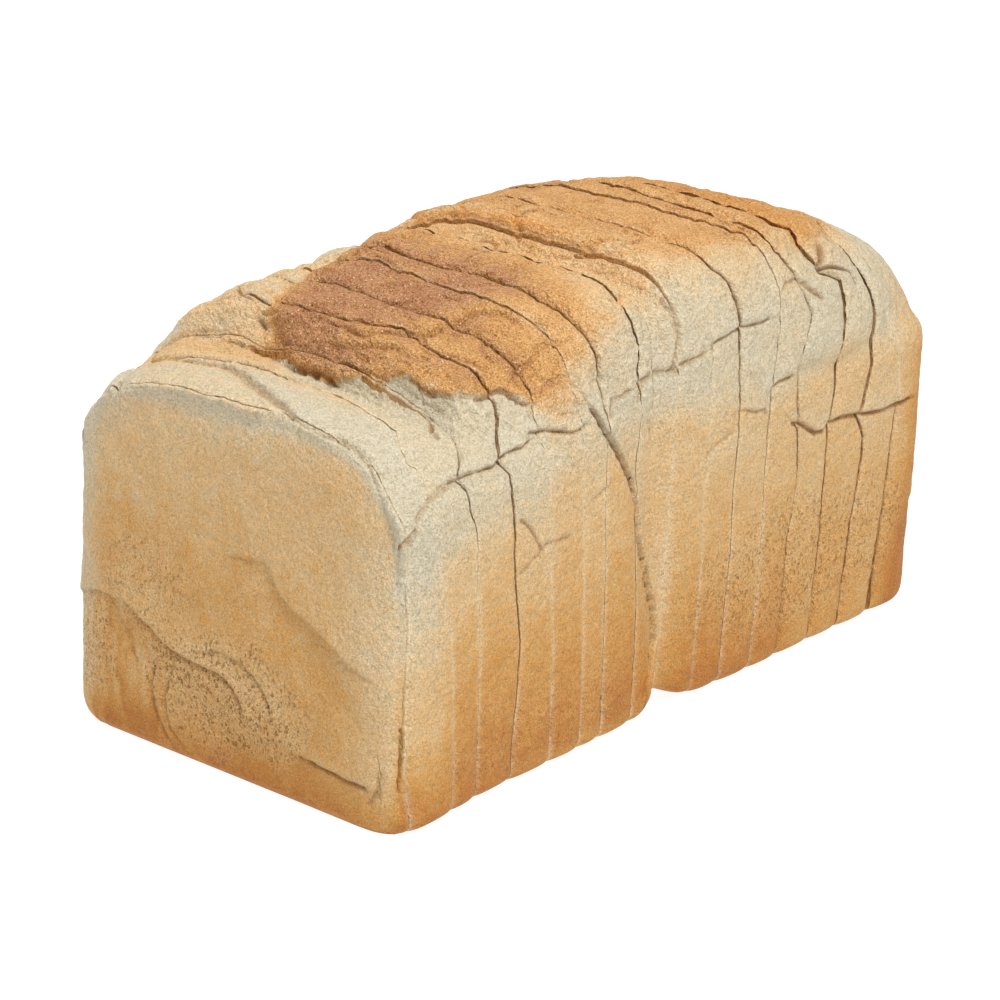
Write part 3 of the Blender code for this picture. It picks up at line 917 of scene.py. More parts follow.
    def press_folds(self, points: np.ndarray, normals: np.ndarray, signs: dict[str, np.ndarray]) -> None:
        """Press the creases in, lap the folds over, and paint shade along them and a highlight on their lapped lips.

        Args:
            points: Places in the loaf's frame.
            normals: Which way the crust faces.
            signs: The measures, to which the relief, the painted shade along the folds and the painted highlight on
                their lapped lips are added.
        """
        relief = layered(RELIEF, signs)
        for crease, line in self.creases:
            rows, distance, _side = near_line(points, normals, line, 2.4 * crease.wide)
            relief[rows] -= crease.deep * hump(distance, 0.0, crease.wide) * ease(signs["z"][rows], 1.0, 10.0)
        hollow_shade = TORN_HOLLOW_SHADE.read(signs)
        lip_highlight = np.zeros(len(points))
        for fold, line in self.folds:
            rows, distance, side = near_line(points, normals, line, self.fold_reach)
            fine = signs["fine"][rows]
            distance = np.abs(distance + 0.3 * fine)
            groove = np.exp(-(distance / (0.75 * fold.wide)) ** 1.4)
            upper = 1.0 if fold.lap >= 0.0 else -1.0
            lip = abs(fold.lap) * ease(upper * (side + 0.35 * fine), -0.3 * fold.wide, 0.5 * fold.wide)
            lip = lip * np.exp(-distance / fold.lap_reach) * ease(distance, 12.0, 7.0)
            relief[rows] += lip - 1.1 * fold.deep * groove
            # Where the lip laps over, a painted highlight is laid on it.
            lip_highlight[rows] += lip / max(abs(fold.lap), 0.3)
            # Painted shade along the fold's floor, as strong as the fold's own shade strength.
            hollow_shade[rows] = np.maximum(hollow_shade[rows], 1.3 * fold.hollow_shade * hump(distance, 0.0, 0.30 + 0.25 * fold.wide))
        signs.update({"relief": relief, "hollow_shade": hollow_shade, "lip_highlight": np.clip(lip_highlight, 0.0, 1.0)})

    def read(self, points: np.ndarray, normals: np.ndarray, to_cut: np.ndarray,
             gap: np.ndarray) -> dict[str, np.ndarray]:
        """Everything about the crust at some points.

        Args:
            points: Places in the loaf's frame.
            normals: Which way the crust faces.
            to_cut: Distance to the slice's nearer cut.
            gap: How wide that cut stands open.

        Returns:
            The relief in millimetres, and each of the SIGNS.
        """
        signs = self.places(points, normals)
        signs["open_cut"] = np.exp(-to_cut / 1.5) * (0.12 + ease(gap, 0.05, 0.6))
        signs["at_cut"] = np.exp(-to_cut / 0.9)
        self.zones(signs)
        self.press_folds(points, normals, signs)
        side_bake = layered(SIDE_BAKE, signs)
        bake = side_bake + (layered(HEEL_BAKE, signs) - side_bake) * signs["face"]
        bake = bake + (layered(CROWN_BAKE, signs) - bake) * signs["capped"]
        bake = bake + (STRIP_BAKE - bake) * signs["strip"] * signs["off_cap"]
        bake = bake + layered(BAKE_GRAIN, signs)
        pale = np.maximum(0.5 * signs["shred"], signs["torn"]) * (0.15 + 0.85 * ease(signs["y"], -84.0, -76.0))
        pale = pale * (0.8 + 0.5 * signs["tear"]) * (1.0 - signs["strip"]) + 0.45 * signs["flour"]
        # Paler line along the cut edges, weaker where the cut stands open: partly pale torn crumb, partly a painted
        # highlight on the cut ridges.
        rim = np.exp(-np.maximum(to_cut, 0.0) / 0.45) * (0.9 + 0.9 * signs["middling"])
        shares = {
            "bake": bake,
            "tone": signs["capped"],
            "pale": pale,
            "pores": signs["pores"],
            "shade": signs["hollow_shade"],
            "rim": rim * (1.0 - 0.8 * ease(gap, 0.12, 0.5)),
            "gilt": layered(GILT, signs) * (0.8 + 0.5 * signs["middling"]),
            "crumb": np.zeros(len(points)),
        }
        return {"relief": signs["relief"]} | {name: np.clip(share, 0.0, 1.0) for name, share in shares.items()}


@dataclass(frozen=True)
class PoreZone:
    """A patch of open pores in the crust."""

    name: str
    on_heel: bool
    middle: tuple[float, float]
    wide: float
    tall: float
    strong: float


PORES = (
    PoreZone("heel_lower_middle", True, (2, 21), 30, 17, 1),
    PoreZone("heel_left_middle", True, (-26, 42), 17, 14, 0.55),
    PoreZone("heel_left_low", True, (-46, 22), 12, 14, 0.7),
    PoreZone("rear_side", False, (46, 27), 48, 20, 0.6),
    PoreZone("front_side_low", False, (-50, 14), 40, 12, 0.25),
)


@dataclass(frozen=True)
class CutTrace:
    """What the photograph shows of one cut: its line, and how far it stands open from the side up to the crown."""

    number: int
    pixels: tuple[tuple[float, float], ...]
    gaps: tuple[float, ...]


GAP_TURNS = (-0.7, -0.2, 0.2, 0.45, 0.65, 0.85, 1.3, 2.1)
CUT_TRACES = (
    CutTrace(1, ((143, 392), (163, 393), (186, 393), (202, 401), (221, 408), (244, 415), (257, 416), (283, 413),
                 (303, 424), (322, 434), (342, 442), (355, 450), (368, 463), (379, 483), (384, 496), (390, 515),
                 (403, 554), (407, 580), (405, 603), (407, 629), (403, 661), (400, 694), (402, 743), (399, 775)),
             (0.05, 0.05, 0.05, 0.05, 0.03, 0.03, 0.06, 0.30)),
    CutTrace(2, ((244, 346), (266, 354), (285, 365), (312, 374), (323, 379), (335, 385), (351, 395), (368, 408),
                 (381, 418), (397, 431), (400, 450), (407, 466), (416, 470), (420, 493), (425, 527)),
             (0.03, 0.03, 0.04, 0.06, 0.08, 0.12, 0.45, 0.50)),
    CutTrace(3, ((257, 330), (285, 335), (312, 344), (334, 352), (353, 360), (373, 374), (405, 384), (422, 397),
                 (441, 405), (445, 416), (460, 436), (462, 447), (459, 466), (455, 474), (458, 482), (468, 491),
                 (472, 510), (478, 528), (479, 541)),
             (0.03, 0.04, 0.15, 0.50, 1.00, 0.60, 0.40, 0.45)),
    CutTrace(4, ((292, 301), (350, 319), (419, 337), (433, 352), (449, 357), (469, 368), (485, 383), (499, 399),
                 (502, 417), (502, 436), (500, 455), (502, 464), (512, 474), (514, 493), (517, 531), (516, 558),
                 (521, 640)),
             (0.10, 0.40, 0.50, 0.45, 0.90, 0.05, 0.45, 0.65)),
    CutTrace(5, ((319, 276), (400, 305), (449, 324), (477, 333), (504, 354), (521, 371), (532, 401), (537, 429),
                 (546, 453), (552, 474), (550, 503), (550, 541)),
             (0.03, 0.03, 0.04, 0.06, 0.35, 1.10, 0.75, 0.65)),
    CutTrace(6, ((452, 291), (468, 296), (507, 311), (540, 330), (559, 355), (570, 382)),
             (0.03, 0.03, 0.03, 0.04, 0.05, 0.06, 0.06, 0.30)),
    CutTrace(7, ((377, 243), (411, 254), (422, 257), (466, 268), (504, 279), (532, 291), (551, 302), (573, 322),
                 (589, 339), (597, 354)),
             (0.03, 0.03, 0.03, 0.04, 1.00, 0.90, 0.80, 0.80)),
    CutTrace(8, ((405, 223), (444, 232), (477, 245), (526, 255), (573, 268), (592, 280), (617, 300), (633, 322),
                 (641, 349), (640, 372)),
             (0.03, 0.03, 0.03, 0.05, 0.45, 0.70, 0.75, 0.60)),
    CutTrace(9, ((441, 213), (500, 227), (559, 243)),
             (0.03, 0.03, 0.03, 0.04, 0.05, 0.05, 0.60, 0.90)),
    CutTrace(10, (),
             (0.03, 0.03, 0.03, 0.04, 0.05, 0.05, 0.06, 0.30)),
    CutTrace(11, ((543, 204), (600, 217), (660, 236), (679, 242), (698, 252), (715, 268), (731, 281), (737, 296),
                  (742, 312), (742, 342), (742, 388)),
             (0.03, 0.04, 0.30, 0.50, 0.75, 0.50, 0.45, 0.45)),
    CutTrace(12, ((780, 312), (781, 329), (775, 369)),
             (0.03, 0.04, 0.40, 0.30, 0.05, 0.05, 0.06, 0.40)),
    CutTrace(13, ((606, 180), (660, 198), (698, 206), (723, 216), (746, 225), (765, 233), (775, 245), (790, 264),
                  (802, 283), (815, 315), (809, 338), (800, 369), (802, 380), (799, 403), (799, 469), (789, 542),
                  (779, 646)),
             (0.55, 0.60, 0.75, 0.80, 0.60, 0.65, 0.65, 0.55)),
    CutTrace(14, ((660, 187), (698, 191), (723, 201), (744, 208), (775, 219), (794, 227), (803, 241), (813, 254),
                  (823, 270), (844, 279), (848, 289), (848, 323), (846, 352), (838, 390), (830, 421), (829, 442),
                  (824, 506), (812, 631)),
             (0.45, 0.60, 0.90, 1.10, 0.90, 0.65, 0.55, 0.50)),
    CutTrace(15, ((846, 246), (857, 252), (865, 268), (869, 289), (874, 304), (878, 323), (878, 342), (876, 361),
                  (870, 382), (863, 405), (859, 417), (864, 438), (861, 468), (853, 518), (841, 619)),
             (0.45, 0.60, 1.30, 1.30, 0.80, 0.35, 0.30, 0.30)),
    CutTrace(16, ((897, 408), (887, 486), (883, 510), (877, 563), (870, 608)),
             (2.00, 0.90, 0.08, 0.05, 0.05, 0.05, 0.06, 0.08)),
)


@dataclass(frozen=True)
class Cut:
    """One knife cut across the loaf."""

    number: int
    place: float
    turns: np.ndarray
    shifts: np.ndarray
    gaps: tuple[float, ...]

    def turned(self, spots: np.ndarray) -> np.ndarray:
        """Angle of each spot round the middle of the cut.

        Args:
            spots: Places on the cut, in the loaf's frame.

        Returns:
            Angles, 0 on the right.
        """
        return np.arctan2(spots[:, 2] - FORM.belly, spots[:, 0])

    def bend(self, spots: np.ndarray) -> np.ndarray:
        """How far the cut wanders along the loaf.

        Args:
            spots: Places on the cut, in the loaf's frame.

        Returns:
            Distances along Y.
        """
        flat = spots * np.array([1.0, 0.0, 1.0]) + np.array([0.0, 37.0 * self.number, 0.0])
        wander = 0.3 * GRAIN.soft(flat, 30.0) + 0.16 * GRAIN.soft(flat, 7.0, 4.4) + 0.08 * GRAIN.soft(flat, 2.0, 8.1)
        if len(self.turns) == 0:
            return wander
        outer = ease(np.hypot(spots[:, 0], spots[:, 2] - FORM.belly), 8.0, 44.0)
        return wander + outer * np.interp(self.turned(spots), self.turns, self.shifts)

    def opening(self, spots: np.ndarray) -> np.ndarray:
        """How wide the cut stands open.

        Args:
            spots: Places on the cut, in the loaf's frame.

        Returns:
            Widths.
        """
        flat = spots * np.array([1.0, 0.0, 1.0]) + np.array([0.0, 51.0 * self.number + 9.0, 0.0])
        wide = np.interp(self.turned(spots), GAP_TURNS, self.gaps)
        return wide * (1.0 + 0.45 * GRAIN.soft(flat, 11.0) + 0.25 * GRAIN.soft(flat, 2.2, 6.6))


@dataclass(frozen=True)
class Knife:
    """Where the loaf is cut."""

    front_heel: float = 9.2
    slices: tuple[float, ...] = (11.1, 9.3, 12.5, 14.1, 10.8, 7.9, 12.3, 12.4, 10.8, 10.2, 11.6, 12.7, 12.6, 11.6, 12.1)
    rear_heel: float = 21.8
    most_shift: float = 5.0

    def cuts(self, surface: Surface) -> list[Cut]:
        """The two ends and all cuts between, front to back.

        Args:
            surface: What their traces lie on.

        Returns:
            The cuts.
        """
        places = np.cumsum([-FORM.length / 2.0, self.front_heel, *self.slices, self.rear_heel])
        traces = {trace.number: trace for trace in CUT_TRACES}
        made = []
        for number, place in enumerate(places):
            trace = traces.get(number, CutTrace(number, (), (0.1,) * len(GAP_TURNS)))
            line = surface.line(trace.pixels) if trace.pixels else np.zeros((0, 3))
            turns, shifts = np.zeros(0), np.zeros(0)
            if len(line):
                angle = np.arctan2(line[:, 2] - FORM.belly, line[:, 0])
                order = np.argsort(angle)
                shift = np.clip(line[order, 1] - place, -self.most_shift, self.most_shift)
                turns = np.concatenate([[angle.min() - 0.5], angle[order], [angle.max() + 0.5]])
                shifts = np.concatenate([[0.0], shift, [0.0]])
            made.append(Cut(number, float(place), turns, shifts, trace.gaps))
        return made


UP = (0.0, 0.0, 1.0)


@lru_cache(maxsize=None)
def drum(around: int, rings: int) -> bpy.types.Mesh:
    """A closed drum whose height counts its rings, shared by the slices.

    Args:
        around: Points in a ring.
        rings: How many rings.

    Returns:
        The mesh.
    """
    bm = bmesh.new()
    bmesh.ops.create_circle(bm, cap_ends=True, segments=around, radius=1.0)
    cap = bm.faces[:][0]
    for ring in range(rings - 1):
        raised = bmesh.ops.extrude_face_region(bm, geom=[cap])
        if ring > 0:
            bmesh.ops.delete(bm, geom=[cap], context="FACES_ONLY")
        cap = [item for item in raised["geom"] if isinstance(item, bmesh.types.BMFace)][0]
        bmesh.ops.translate(bm, verts=cap.verts[:], vec=UP)
    return blank_mesh(bm, "drum")


@lru_cache(maxsize=None)
def gridded_box(across: int, down: int, rings: int) -> bpy.types.Mesh:
    """A gridded face with walls whose height counts their rings, closed at the end.

    Args:
        across: Faces along the grid.
        down: Faces down the grid.
        rings: How many rings, the grid's edge among them.

    Returns:
        The mesh.
    """
    bm = bmesh.new()
    bmesh.ops.create_grid(bm, x_segments=across, y_segments=down, size=1.0)
    edges = [edge for edge in bm.edges if edge.is_boundary]
    for _ring in range(rings - 1):
        raised = bmesh.ops.extrude_edge_only(bm, edges=edges)["geom"]
        verts = [item for item in raised if isinstance(item, bmesh.types.BMVert)]
        bmesh.ops.translate(bm, verts=verts, vec=UP)
        edges = [item for item in raised if isinstance(item, bmesh.types.BMEdge) and item.is_boundary]
    bmesh.ops.contextual_create(bm, geom=edges)
    return blank_mesh(bm, "gridded_box")


def blank_mesh(bm: bmesh.types.BMesh, name: str) -> bpy.types.Mesh:
    """Close off a blank.

    Args:
        bm: Its bmesh, freed here.
        name: The mesh's name.

    Returns:
        The mesh, with its faces outward.
    """
    bmesh.ops.recalc_face_normals(bm, faces=bm.faces)
    mesh = bpy.data.meshes.new(name)
    bm.to_mesh(mesh)
    bm.free()
    return mesh


class Piece(Enum):
    """The kinds of piece."""

    FRONT_HEEL = "front_heel"
    SLICE = "slice"
    REAR_HEEL = "rear_heel"


@dataclass
class BreadSlice:
    """One slice or heel: its crust, its two faces and their crumb."""

    number: int
    kind: Piece
    front: Cut
    back: Cut
    step: float = 0.55
    inner_rings: int = 26
    around: int = 900
    face_across: int = 245
    edge_steps: tuple[float, ...] = (0.0, 0.12, 0.3, 0.6, 1.0)
    # The outer rings of a cut face carry little crumb, so they keep the crust layer's brown with the painted gap shade
    # rather than white crumb.
    crumb_shares: tuple[float, ...] = (0.997, 0.988, 0.965, 0.93, 0.75, 0.45, 0.18)
    crumb_depths: tuple[float, ...] = (0.02, 0.12, 0.35, 0.9, 1.0, 1.0, 1.0)
    raised: tuple[tuple[int, float], ...] = ((9, 0.9), (14, 0.8))
    crown_step: float = 0.55
    base_notch: float = 0.9
    notch_reach: float = 1.6
    nick_depth: float = 0.22
    most_edge: float = 0.34
    edge_reach: float = 0.35
    edge_from_cut: float = 1.4

    @property
    def name(self) -> str:
        """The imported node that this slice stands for."""
        return f"slice_{self.number:02d}" if self.kind is Piece.SLICE else self.kind.value

    def ring_places(self) -> np.ndarray:
        """Where along the loaf the crust's rings are, before the cuts bend them.

        Returns:
            Places, front to back.
        """
        start, end = self.front.place, self.back.place
        depth = end - start
        if self.kind is Piece.SLICE:
            inner = np.linspace(self.edge_from_cut, depth - self.edge_from_cut, self.inner_rings)
            edge = np.array(self.edge_steps)
            return start + np.concatenate([edge, inner, depth - edge[::-1]])
        bend = FORM.front_right_round
        step = self.step if self.kind is Piece.FRONT_HEEL else 1.5 * self.step
        turned = np.arange(0.0, math.pi / 2.0, step / bend)
        rounded = bend * (1.0 - np.cos(turned))
        stop = depth - self.edge_from_cut
        beyond = np.arange(bend + step, stop, step)
        inner = np.concatenate([rounded[rounded < stop], beyond])
        inner = np.concatenate([inner, depth - np.array(self.edge_steps)[::-1]])
        return start + inner if self.kind is Piece.FRONT_HEEL else (end - inner)[::-1]

    def blank(self, rings: int) -> bpy.types.Mesh:
        """A closed drum, or a box with a gridded face, whose height counts its rings.

        Args:
            rings: How many rings it has.

        Returns:
            A mesh of its own.
        """
        if self.kind is Piece.SLICE:
            return drum(self.around, rings).copy()
        return gridded_box(self.face_across, self.around // 2 - self.face_across, rings).copy()

    def around_share(self, flat: np.ndarray) -> np.ndarray:
        """How far round the ring each point of the blank is.

        Args:
            flat: x and y of the blank's points.

        Returns:
            Shares from 0 at the bottom middle, anticlockwise.
        """
        u, v = flat[:, 0], flat[:, 1]
        if self.kind is Piece.SLICE:
            return (np.arctan2(v, u) / (2.0 * math.pi) + 0.25) % 1.0
        size = np.maximum(np.maximum(np.abs(u), np.abs(v)), 1e-9)
        u, v = u / size, v / size
        wide = self.face_across / self.around
        tall = 0.5 - wide
        share = np.where(v < -1.0 + 1e-6, u * wide / 2.0, 0.0)
        share = np.where(u > 1.0 - 1e-6, wide / 2.0 + (v + 1.0) * tall / 2.0, share)
        share = np.where(v > 1.0 - 1e-6, wide / 2.0 + tall + (1.0 - u) * wide / 2.0, share)
        left = wide * 1.5 + tall + (1.0 - v) * tall / 2.0
        share = np.where((u < -1.0 + 1e-6) & (np.abs(v) < 1.0 - 1e-6), left, share)
        return share % 1.0

    def placed(self, ring_points: np.ndarray, flat: np.ndarray, ring: np.ndarray, share: np.ndarray) -> np.ndarray:
        """Where each point of the blank goes, before relief.

        Args:
            ring_points: The rings of the loaf, from the face on.
            flat: x and y of the blank's points.
            ring: Which ring each is on.
            share: How far round it is.

        Returns:
            Points in the loaf's frame.
        """
        place = share * self.around
        lower = np.floor(place + 1e-6).astype(int) % self.around
        upper = (lower + 1) % self.around
        part = np.clip(place - np.floor(place + 1e-6), 0.0, 1.0)[:, None]
        rim = ring_points[ring, lower] * (1.0 - part) + ring_points[ring, upper] * part
        if self.kind is Piece.SLICE:
            return rim
        size = np.where(ring == 0, np.maximum(np.abs(flat[:, 0]), np.abs(flat[:, 1])), 1.0)
        inward = 1.0 if self.kind is Piece.FRONT_HEEL else -1.0
        centre = np.array([0.0, 0.0, ring_points[0, :, 2].mean()])
        points = centre + (rim - centre) * size[:, None]
        points[:, 1] = rim[:, 1] - np.where(ring == 0, inward * FACE_DOME * (1.0 - size ** 2), 0.0)
        return points

    def quads(self, mesh: bpy.types.Mesh) -> np.ndarray:
        """Corners of the four-sided faces.

        Args:
            mesh: The mesh.

        Returns:
            Four vertex numbers a row.
        """
        totals = np.empty(len(mesh.polygons), dtype=np.int32)
        starts = np.empty(len(mesh.polygons), dtype=np.int32)
        corners = np.empty(len(mesh.loops), dtype=np.int32)
        mesh.polygons.foreach_get("loop_total", totals)
        mesh.polygons.foreach_get("loop_start", starts)
        mesh.loops.foreach_get("vertex_index", corners)
        return corners[starts[totals == 4][:, None] + np.arange(4)]

    def normals(self, points: np.ndarray, faces: np.ndarray) -> np.ndarray:
        """Which way the crust faces at each point, from its own faces alone.

        Args:
            points: All points.
            faces: The crust's faces.

        Returns:
            Unit vectors.
        """
        across = points[faces[:, 2]] - points[faces[:, 0]]
        other = points[faces[:, 3]] - points[faces[:, 1]]
        face = np.cross(across, other)
        total = np.zeros_like(points)
        for corner in range(4):
            for axis in range(3):
                total[:, axis] += np.bincount(faces[:, corner], face[:, axis], len(points))
        return total / np.maximum(np.linalg.norm(total, axis=1), 1e-12)[:, None]

    def build(self, crust: Crust, finish: "CrustFinish") -> bpy.types.Object:
        """Make the slice.

        Args:
            crust: What the oven did.
            finish: Its material.

        Returns:
            The slice, riding on the loaf's body.
        """
        places = self.ring_places()
        ring_points = FORM.outlines(places, self.around, 0.3 if self.kind is Piece.SLICE else 1.0)
        if self.kind is Piece.REAR_HEEL:
            ring_points = ring_points[::-1]
        before = len(self.crumb_shares) if self.kind is Piece.SLICE else 0
        mesh = self.blank(before + len(places) + len(self.crumb_shares))
        raw = np.empty(len(mesh.vertices) * 3, dtype=np.float32)
        mesh.vertices.foreach_get("co", raw)
        raw = raw.reshape(-1, 3)
        ring = np.rint(raw[:, 2]).astype(int) - before
        on_crust = (ring >= 0) & (ring < len(places))
        share = self.around_share(raw[:, :2])
        points = self.placed(ring_points, raw, np.clip(ring, 0, len(places) - 1), share)
        quads = self.quads(mesh)
        facing = self.normals(points, quads[on_crust[quads].all(axis=1)])
        middle = np.array([0.0, 0.0, FORM.belly])
        side_way = ((points - middle) * facing * np.array([1.0, 0.0, 1.0])).sum(axis=1)
        if np.median(side_way[on_crust & (np.abs(facing[:, 1]) < 0.7)]) < 0.0:
            facing = -facing
            mesh.flip_normals()
        to_cut, gap = self.nearer_cut(points)
        signs = crust.read(points, facing, to_cut, gap)
        signs["bake"] = np.clip(signs["bake"] + 0.03 * math.sin(2.7 * self.number + 1.0), 0.0, 1.0)
        moved = self.shaped(points, facing, signs["relief"], to_cut, gap)
        self.lay_crumb(moved, signs, ring, len(places), np.rint(share * self.around).astype(int) % self.around)
        moved[:, 2] = np.maximum(moved[:, 2], 0.0)
        mesh.vertices.foreach_set("co", ((moved - BOX_CENTRE) * MM).astype(np.float32).ravel())
        return self.dressed(mesh, signs, finish)

    def nearer_cut(self, points: np.ndarray) -> tuple[np.ndarray, np.ndarray]:
        """How far points are from the slice's nearer cut, and how wide that cut stands open.

        Args:
            points: Places in the loaf's frame.

        Returns:
            Distances and widths.
        """
        far = np.full(len(points), 1e3)
        to_front = far if self.kind is Piece.FRONT_HEEL else points[:, 1] - self.front.place
        to_back = far if self.kind is Piece.REAR_HEEL else self.back.place - points[:, 1]
        gap = np.where(to_front < to_back, self.front.opening(points), self.back.opening(points))
        return np.minimum(to_front, to_back), gap

    def shaped(self, points: np.ndarray, facing: np.ndarray, relief: np.ndarray, to_cut: np.ndarray,
               gap: np.ndarray) -> np.ndarray:
        """The crust with its relief, its rounded edges and its bent cuts.

        Args:
            points: Places on the plain form.
            facing: Which way the crust faces.
            relief: How far it stands out.
            to_cut: Distance to the nearer cut.
            gap: How wide that cut stands open.

        Returns:
            The points moved.
        """
        off_cut = np.maximum(to_cut, 0.0)
        nick = self.nick_depth * GRAIN.soft(points, 1.7, 3.3) * ease(points[:, 2], 60.0, 90.0)
        edge = (np.clip(0.02 + 0.55 * gap, 0.0, self.most_edge) + nick) * np.exp(-off_cut / self.edge_reach)
        moved = points + facing * ((relief - edge) * ease(points[:, 2], 0.4, 7.0))[:, None]
        share_back = ease((points[:, 1] - self.front.place) / (self.back.place - self.front.place), 0.0, 1.0)
        if self.kind is not Piece.FRONT_HEEL:
            moved[:, 1] += (self.front.bend(points) + 0.5 * self.front.opening(points)) * (1.0 - share_back)
        if self.kind is not Piece.REAR_HEEL:
            moved[:, 1] += (self.back.bend(points) - 0.5 * self.back.opening(points)) * share_back
        if self.kind is Piece.FRONT_HEEL:
            moved[:, 1] += FORM.lean(points)
        low_side = ease(points[:, 2], 34.0, 4.0) * ease(np.abs(points[:, 0]), 36.0, 50.0)
        moved[:, 0] -= np.sign(points[:, 0]) * low_side * self.base_notch * np.exp(-off_cut / self.notch_reach)
        if self.kind is Piece.SLICE:
            lift = dict(self.raised).get(self.number, 0.12 * math.sin(2.1 * self.number))
            lift = lift + self.crown_step * (0.5 - share_back)
            moved[:, 2] += lift * ease(moved[:, 2], 55.0, 100.0)
            moved[:, 0] += 0.14 * math.sin(1.7 * self.number + 0.6)
        return moved

    def lay_crumb(self, moved: np.ndarray, signs: dict[str, np.ndarray], ring: np.ndarray, crust_rings: int,
                  place_row: np.ndarray) -> None:
        """Put the crumb on the cut faces, from the crust's edge inward.

        Args:
            moved: The points, of which the crumb's are set here.
            signs: The crust's signs, of which the crumb's are set here.
            ring: Ring of each point, 0 for the crust's first.
            crust_rings: How many rings the crust has.
            place_row: How far round each point is, in steps.
        """
        faces = [(self.front, 1.0, 0, np.flatnonzero(ring < 0))] if self.kind is Piece.SLICE else []
        last, way = (self.front, 1.0) if self.kind is Piece.REAR_HEEL else (self.back, -1.0)
        faces.append((last, way, crust_rings - 1, np.flatnonzero(ring >= crust_rings)))
        for cut, way, edge_ring, rows in faces:
            on_rim = np.flatnonzero(ring == edge_ring)
            rim = np.zeros((self.around, 3))
            rim[place_row[on_rim]] = moved[on_rim]
            centre = rim.mean(axis=0)
            order = np.abs(ring[rows] - edge_ring) - 1
            spots = centre + (rim[place_row[rows]] - centre) * np.array(self.crumb_shares)[order][:, None]
            spots[:, 1] = cut.place + cut.bend(spots) + way * 0.5 * cut.opening(spots)
            spots[:, 1] += way * (0.06 + 0.10 * GRAIN.rough(spots, 3.0, 2, 1.1))
            moved[rows] = spots
            for name in SIGNS:
                values = np.zeros(self.around)
                if name in ("bake", "tone", "pale"):
                    values[place_row[on_rim]] = signs[name][on_rim]
                signs[name][rows] = values[place_row[rows]]
            signs["crumb"][rows] = np.array(self.crumb_depths)[order]

    def dressed(self, mesh: bpy.types.Mesh, signs: dict[str, np.ndarray], finish: "CrustFinish") -> bpy.types.Object:
        """Write the signs on the mesh, and make it a piece of the loaf's body.

        Args:
            mesh: The finished mesh.
            signs: What it carries for the material.
            finish: Its material.

        Returns:
            The piece.
        """
        for name in SIGNS:
            layer = mesh.attributes.new(name, "FLOAT", "POINT")
            layer.data.foreach_set("value", signs[name].astype(np.float32))
        mesh.shade_smooth()
        mesh.update()
        mesh.materials.append(finish.material)
        piece = bpy.data.objects.new(self.name + "_bread", mesh)
        bpy.context.scene.collection.objects.link(piece)
        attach(piece, "root")
        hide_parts(self.name)
        LOG.info("%s: %d points", piece.name, len(mesh.vertices))
        return piece


class Wire:
    """A node's value output that adds Math nodes when it is used in an expression."""

    def __init__(self, sheet: "NodeSheet", socket: bpy.types.NodeSocket) -> None:
        """Wrap a socket.

        Args:
            sheet: Whose nodes it is among.
            socket: The output.
        """
        self.sheet = sheet
        self.socket = socket

    def math(self, operation: str, *others: "Wire | float", clamp: bool = False) -> "Wire":
        """Add a Math node.

        Args:
            operation: What it does.
            others: Its other inputs.
            clamp: Whether the result stays from 0 to 1.

        Returns:
            Its output.
        """
        return self.sheet.math(operation, self, *others, clamp=clamp)

    def __add__(self, other: "Wire | float") -> "Wire":
        """Sum."""
        return self.math("ADD", other)

    def __radd__(self, other: float) -> "Wire":
        """Sum with a number on the left."""
        return self.math("ADD", other)

    def __sub__(self, other: "Wire | float") -> "Wire":
        """Difference."""
        return self.math("SUBTRACT", other)

    def __rsub__(self, other: float) -> "Wire":
        """Difference from a number on the left."""
        return self.sheet.math("SUBTRACT", other, self)

    def __mul__(self, other: "Wire | float") -> "Wire":
        """Product."""
        return self.math("MULTIPLY", other)

    def __rmul__(self, other: float) -> "Wire":
        """Product with a number on the left."""
        return self.math("MULTIPLY", other)

    def held(self) -> "Wire":
        """The same, kept from 0 to 1."""
        return self.math("ADD", 0.0, clamp=True)

    def between(self, low: float, high: float) -> "Wire":
        """A smooth step.

        Args:
            low: Where it starts.
            high: Where it ends.

        Returns:
            From 0 to 1.
        """
        node = self.sheet.add("ShaderNodeMapRange", {"interpolation_type": "SMOOTHSTEP"},
                              {"Value": self, "From Min": low, "From Max": high})
        return Wire(self.sheet, node.outputs["Result"])


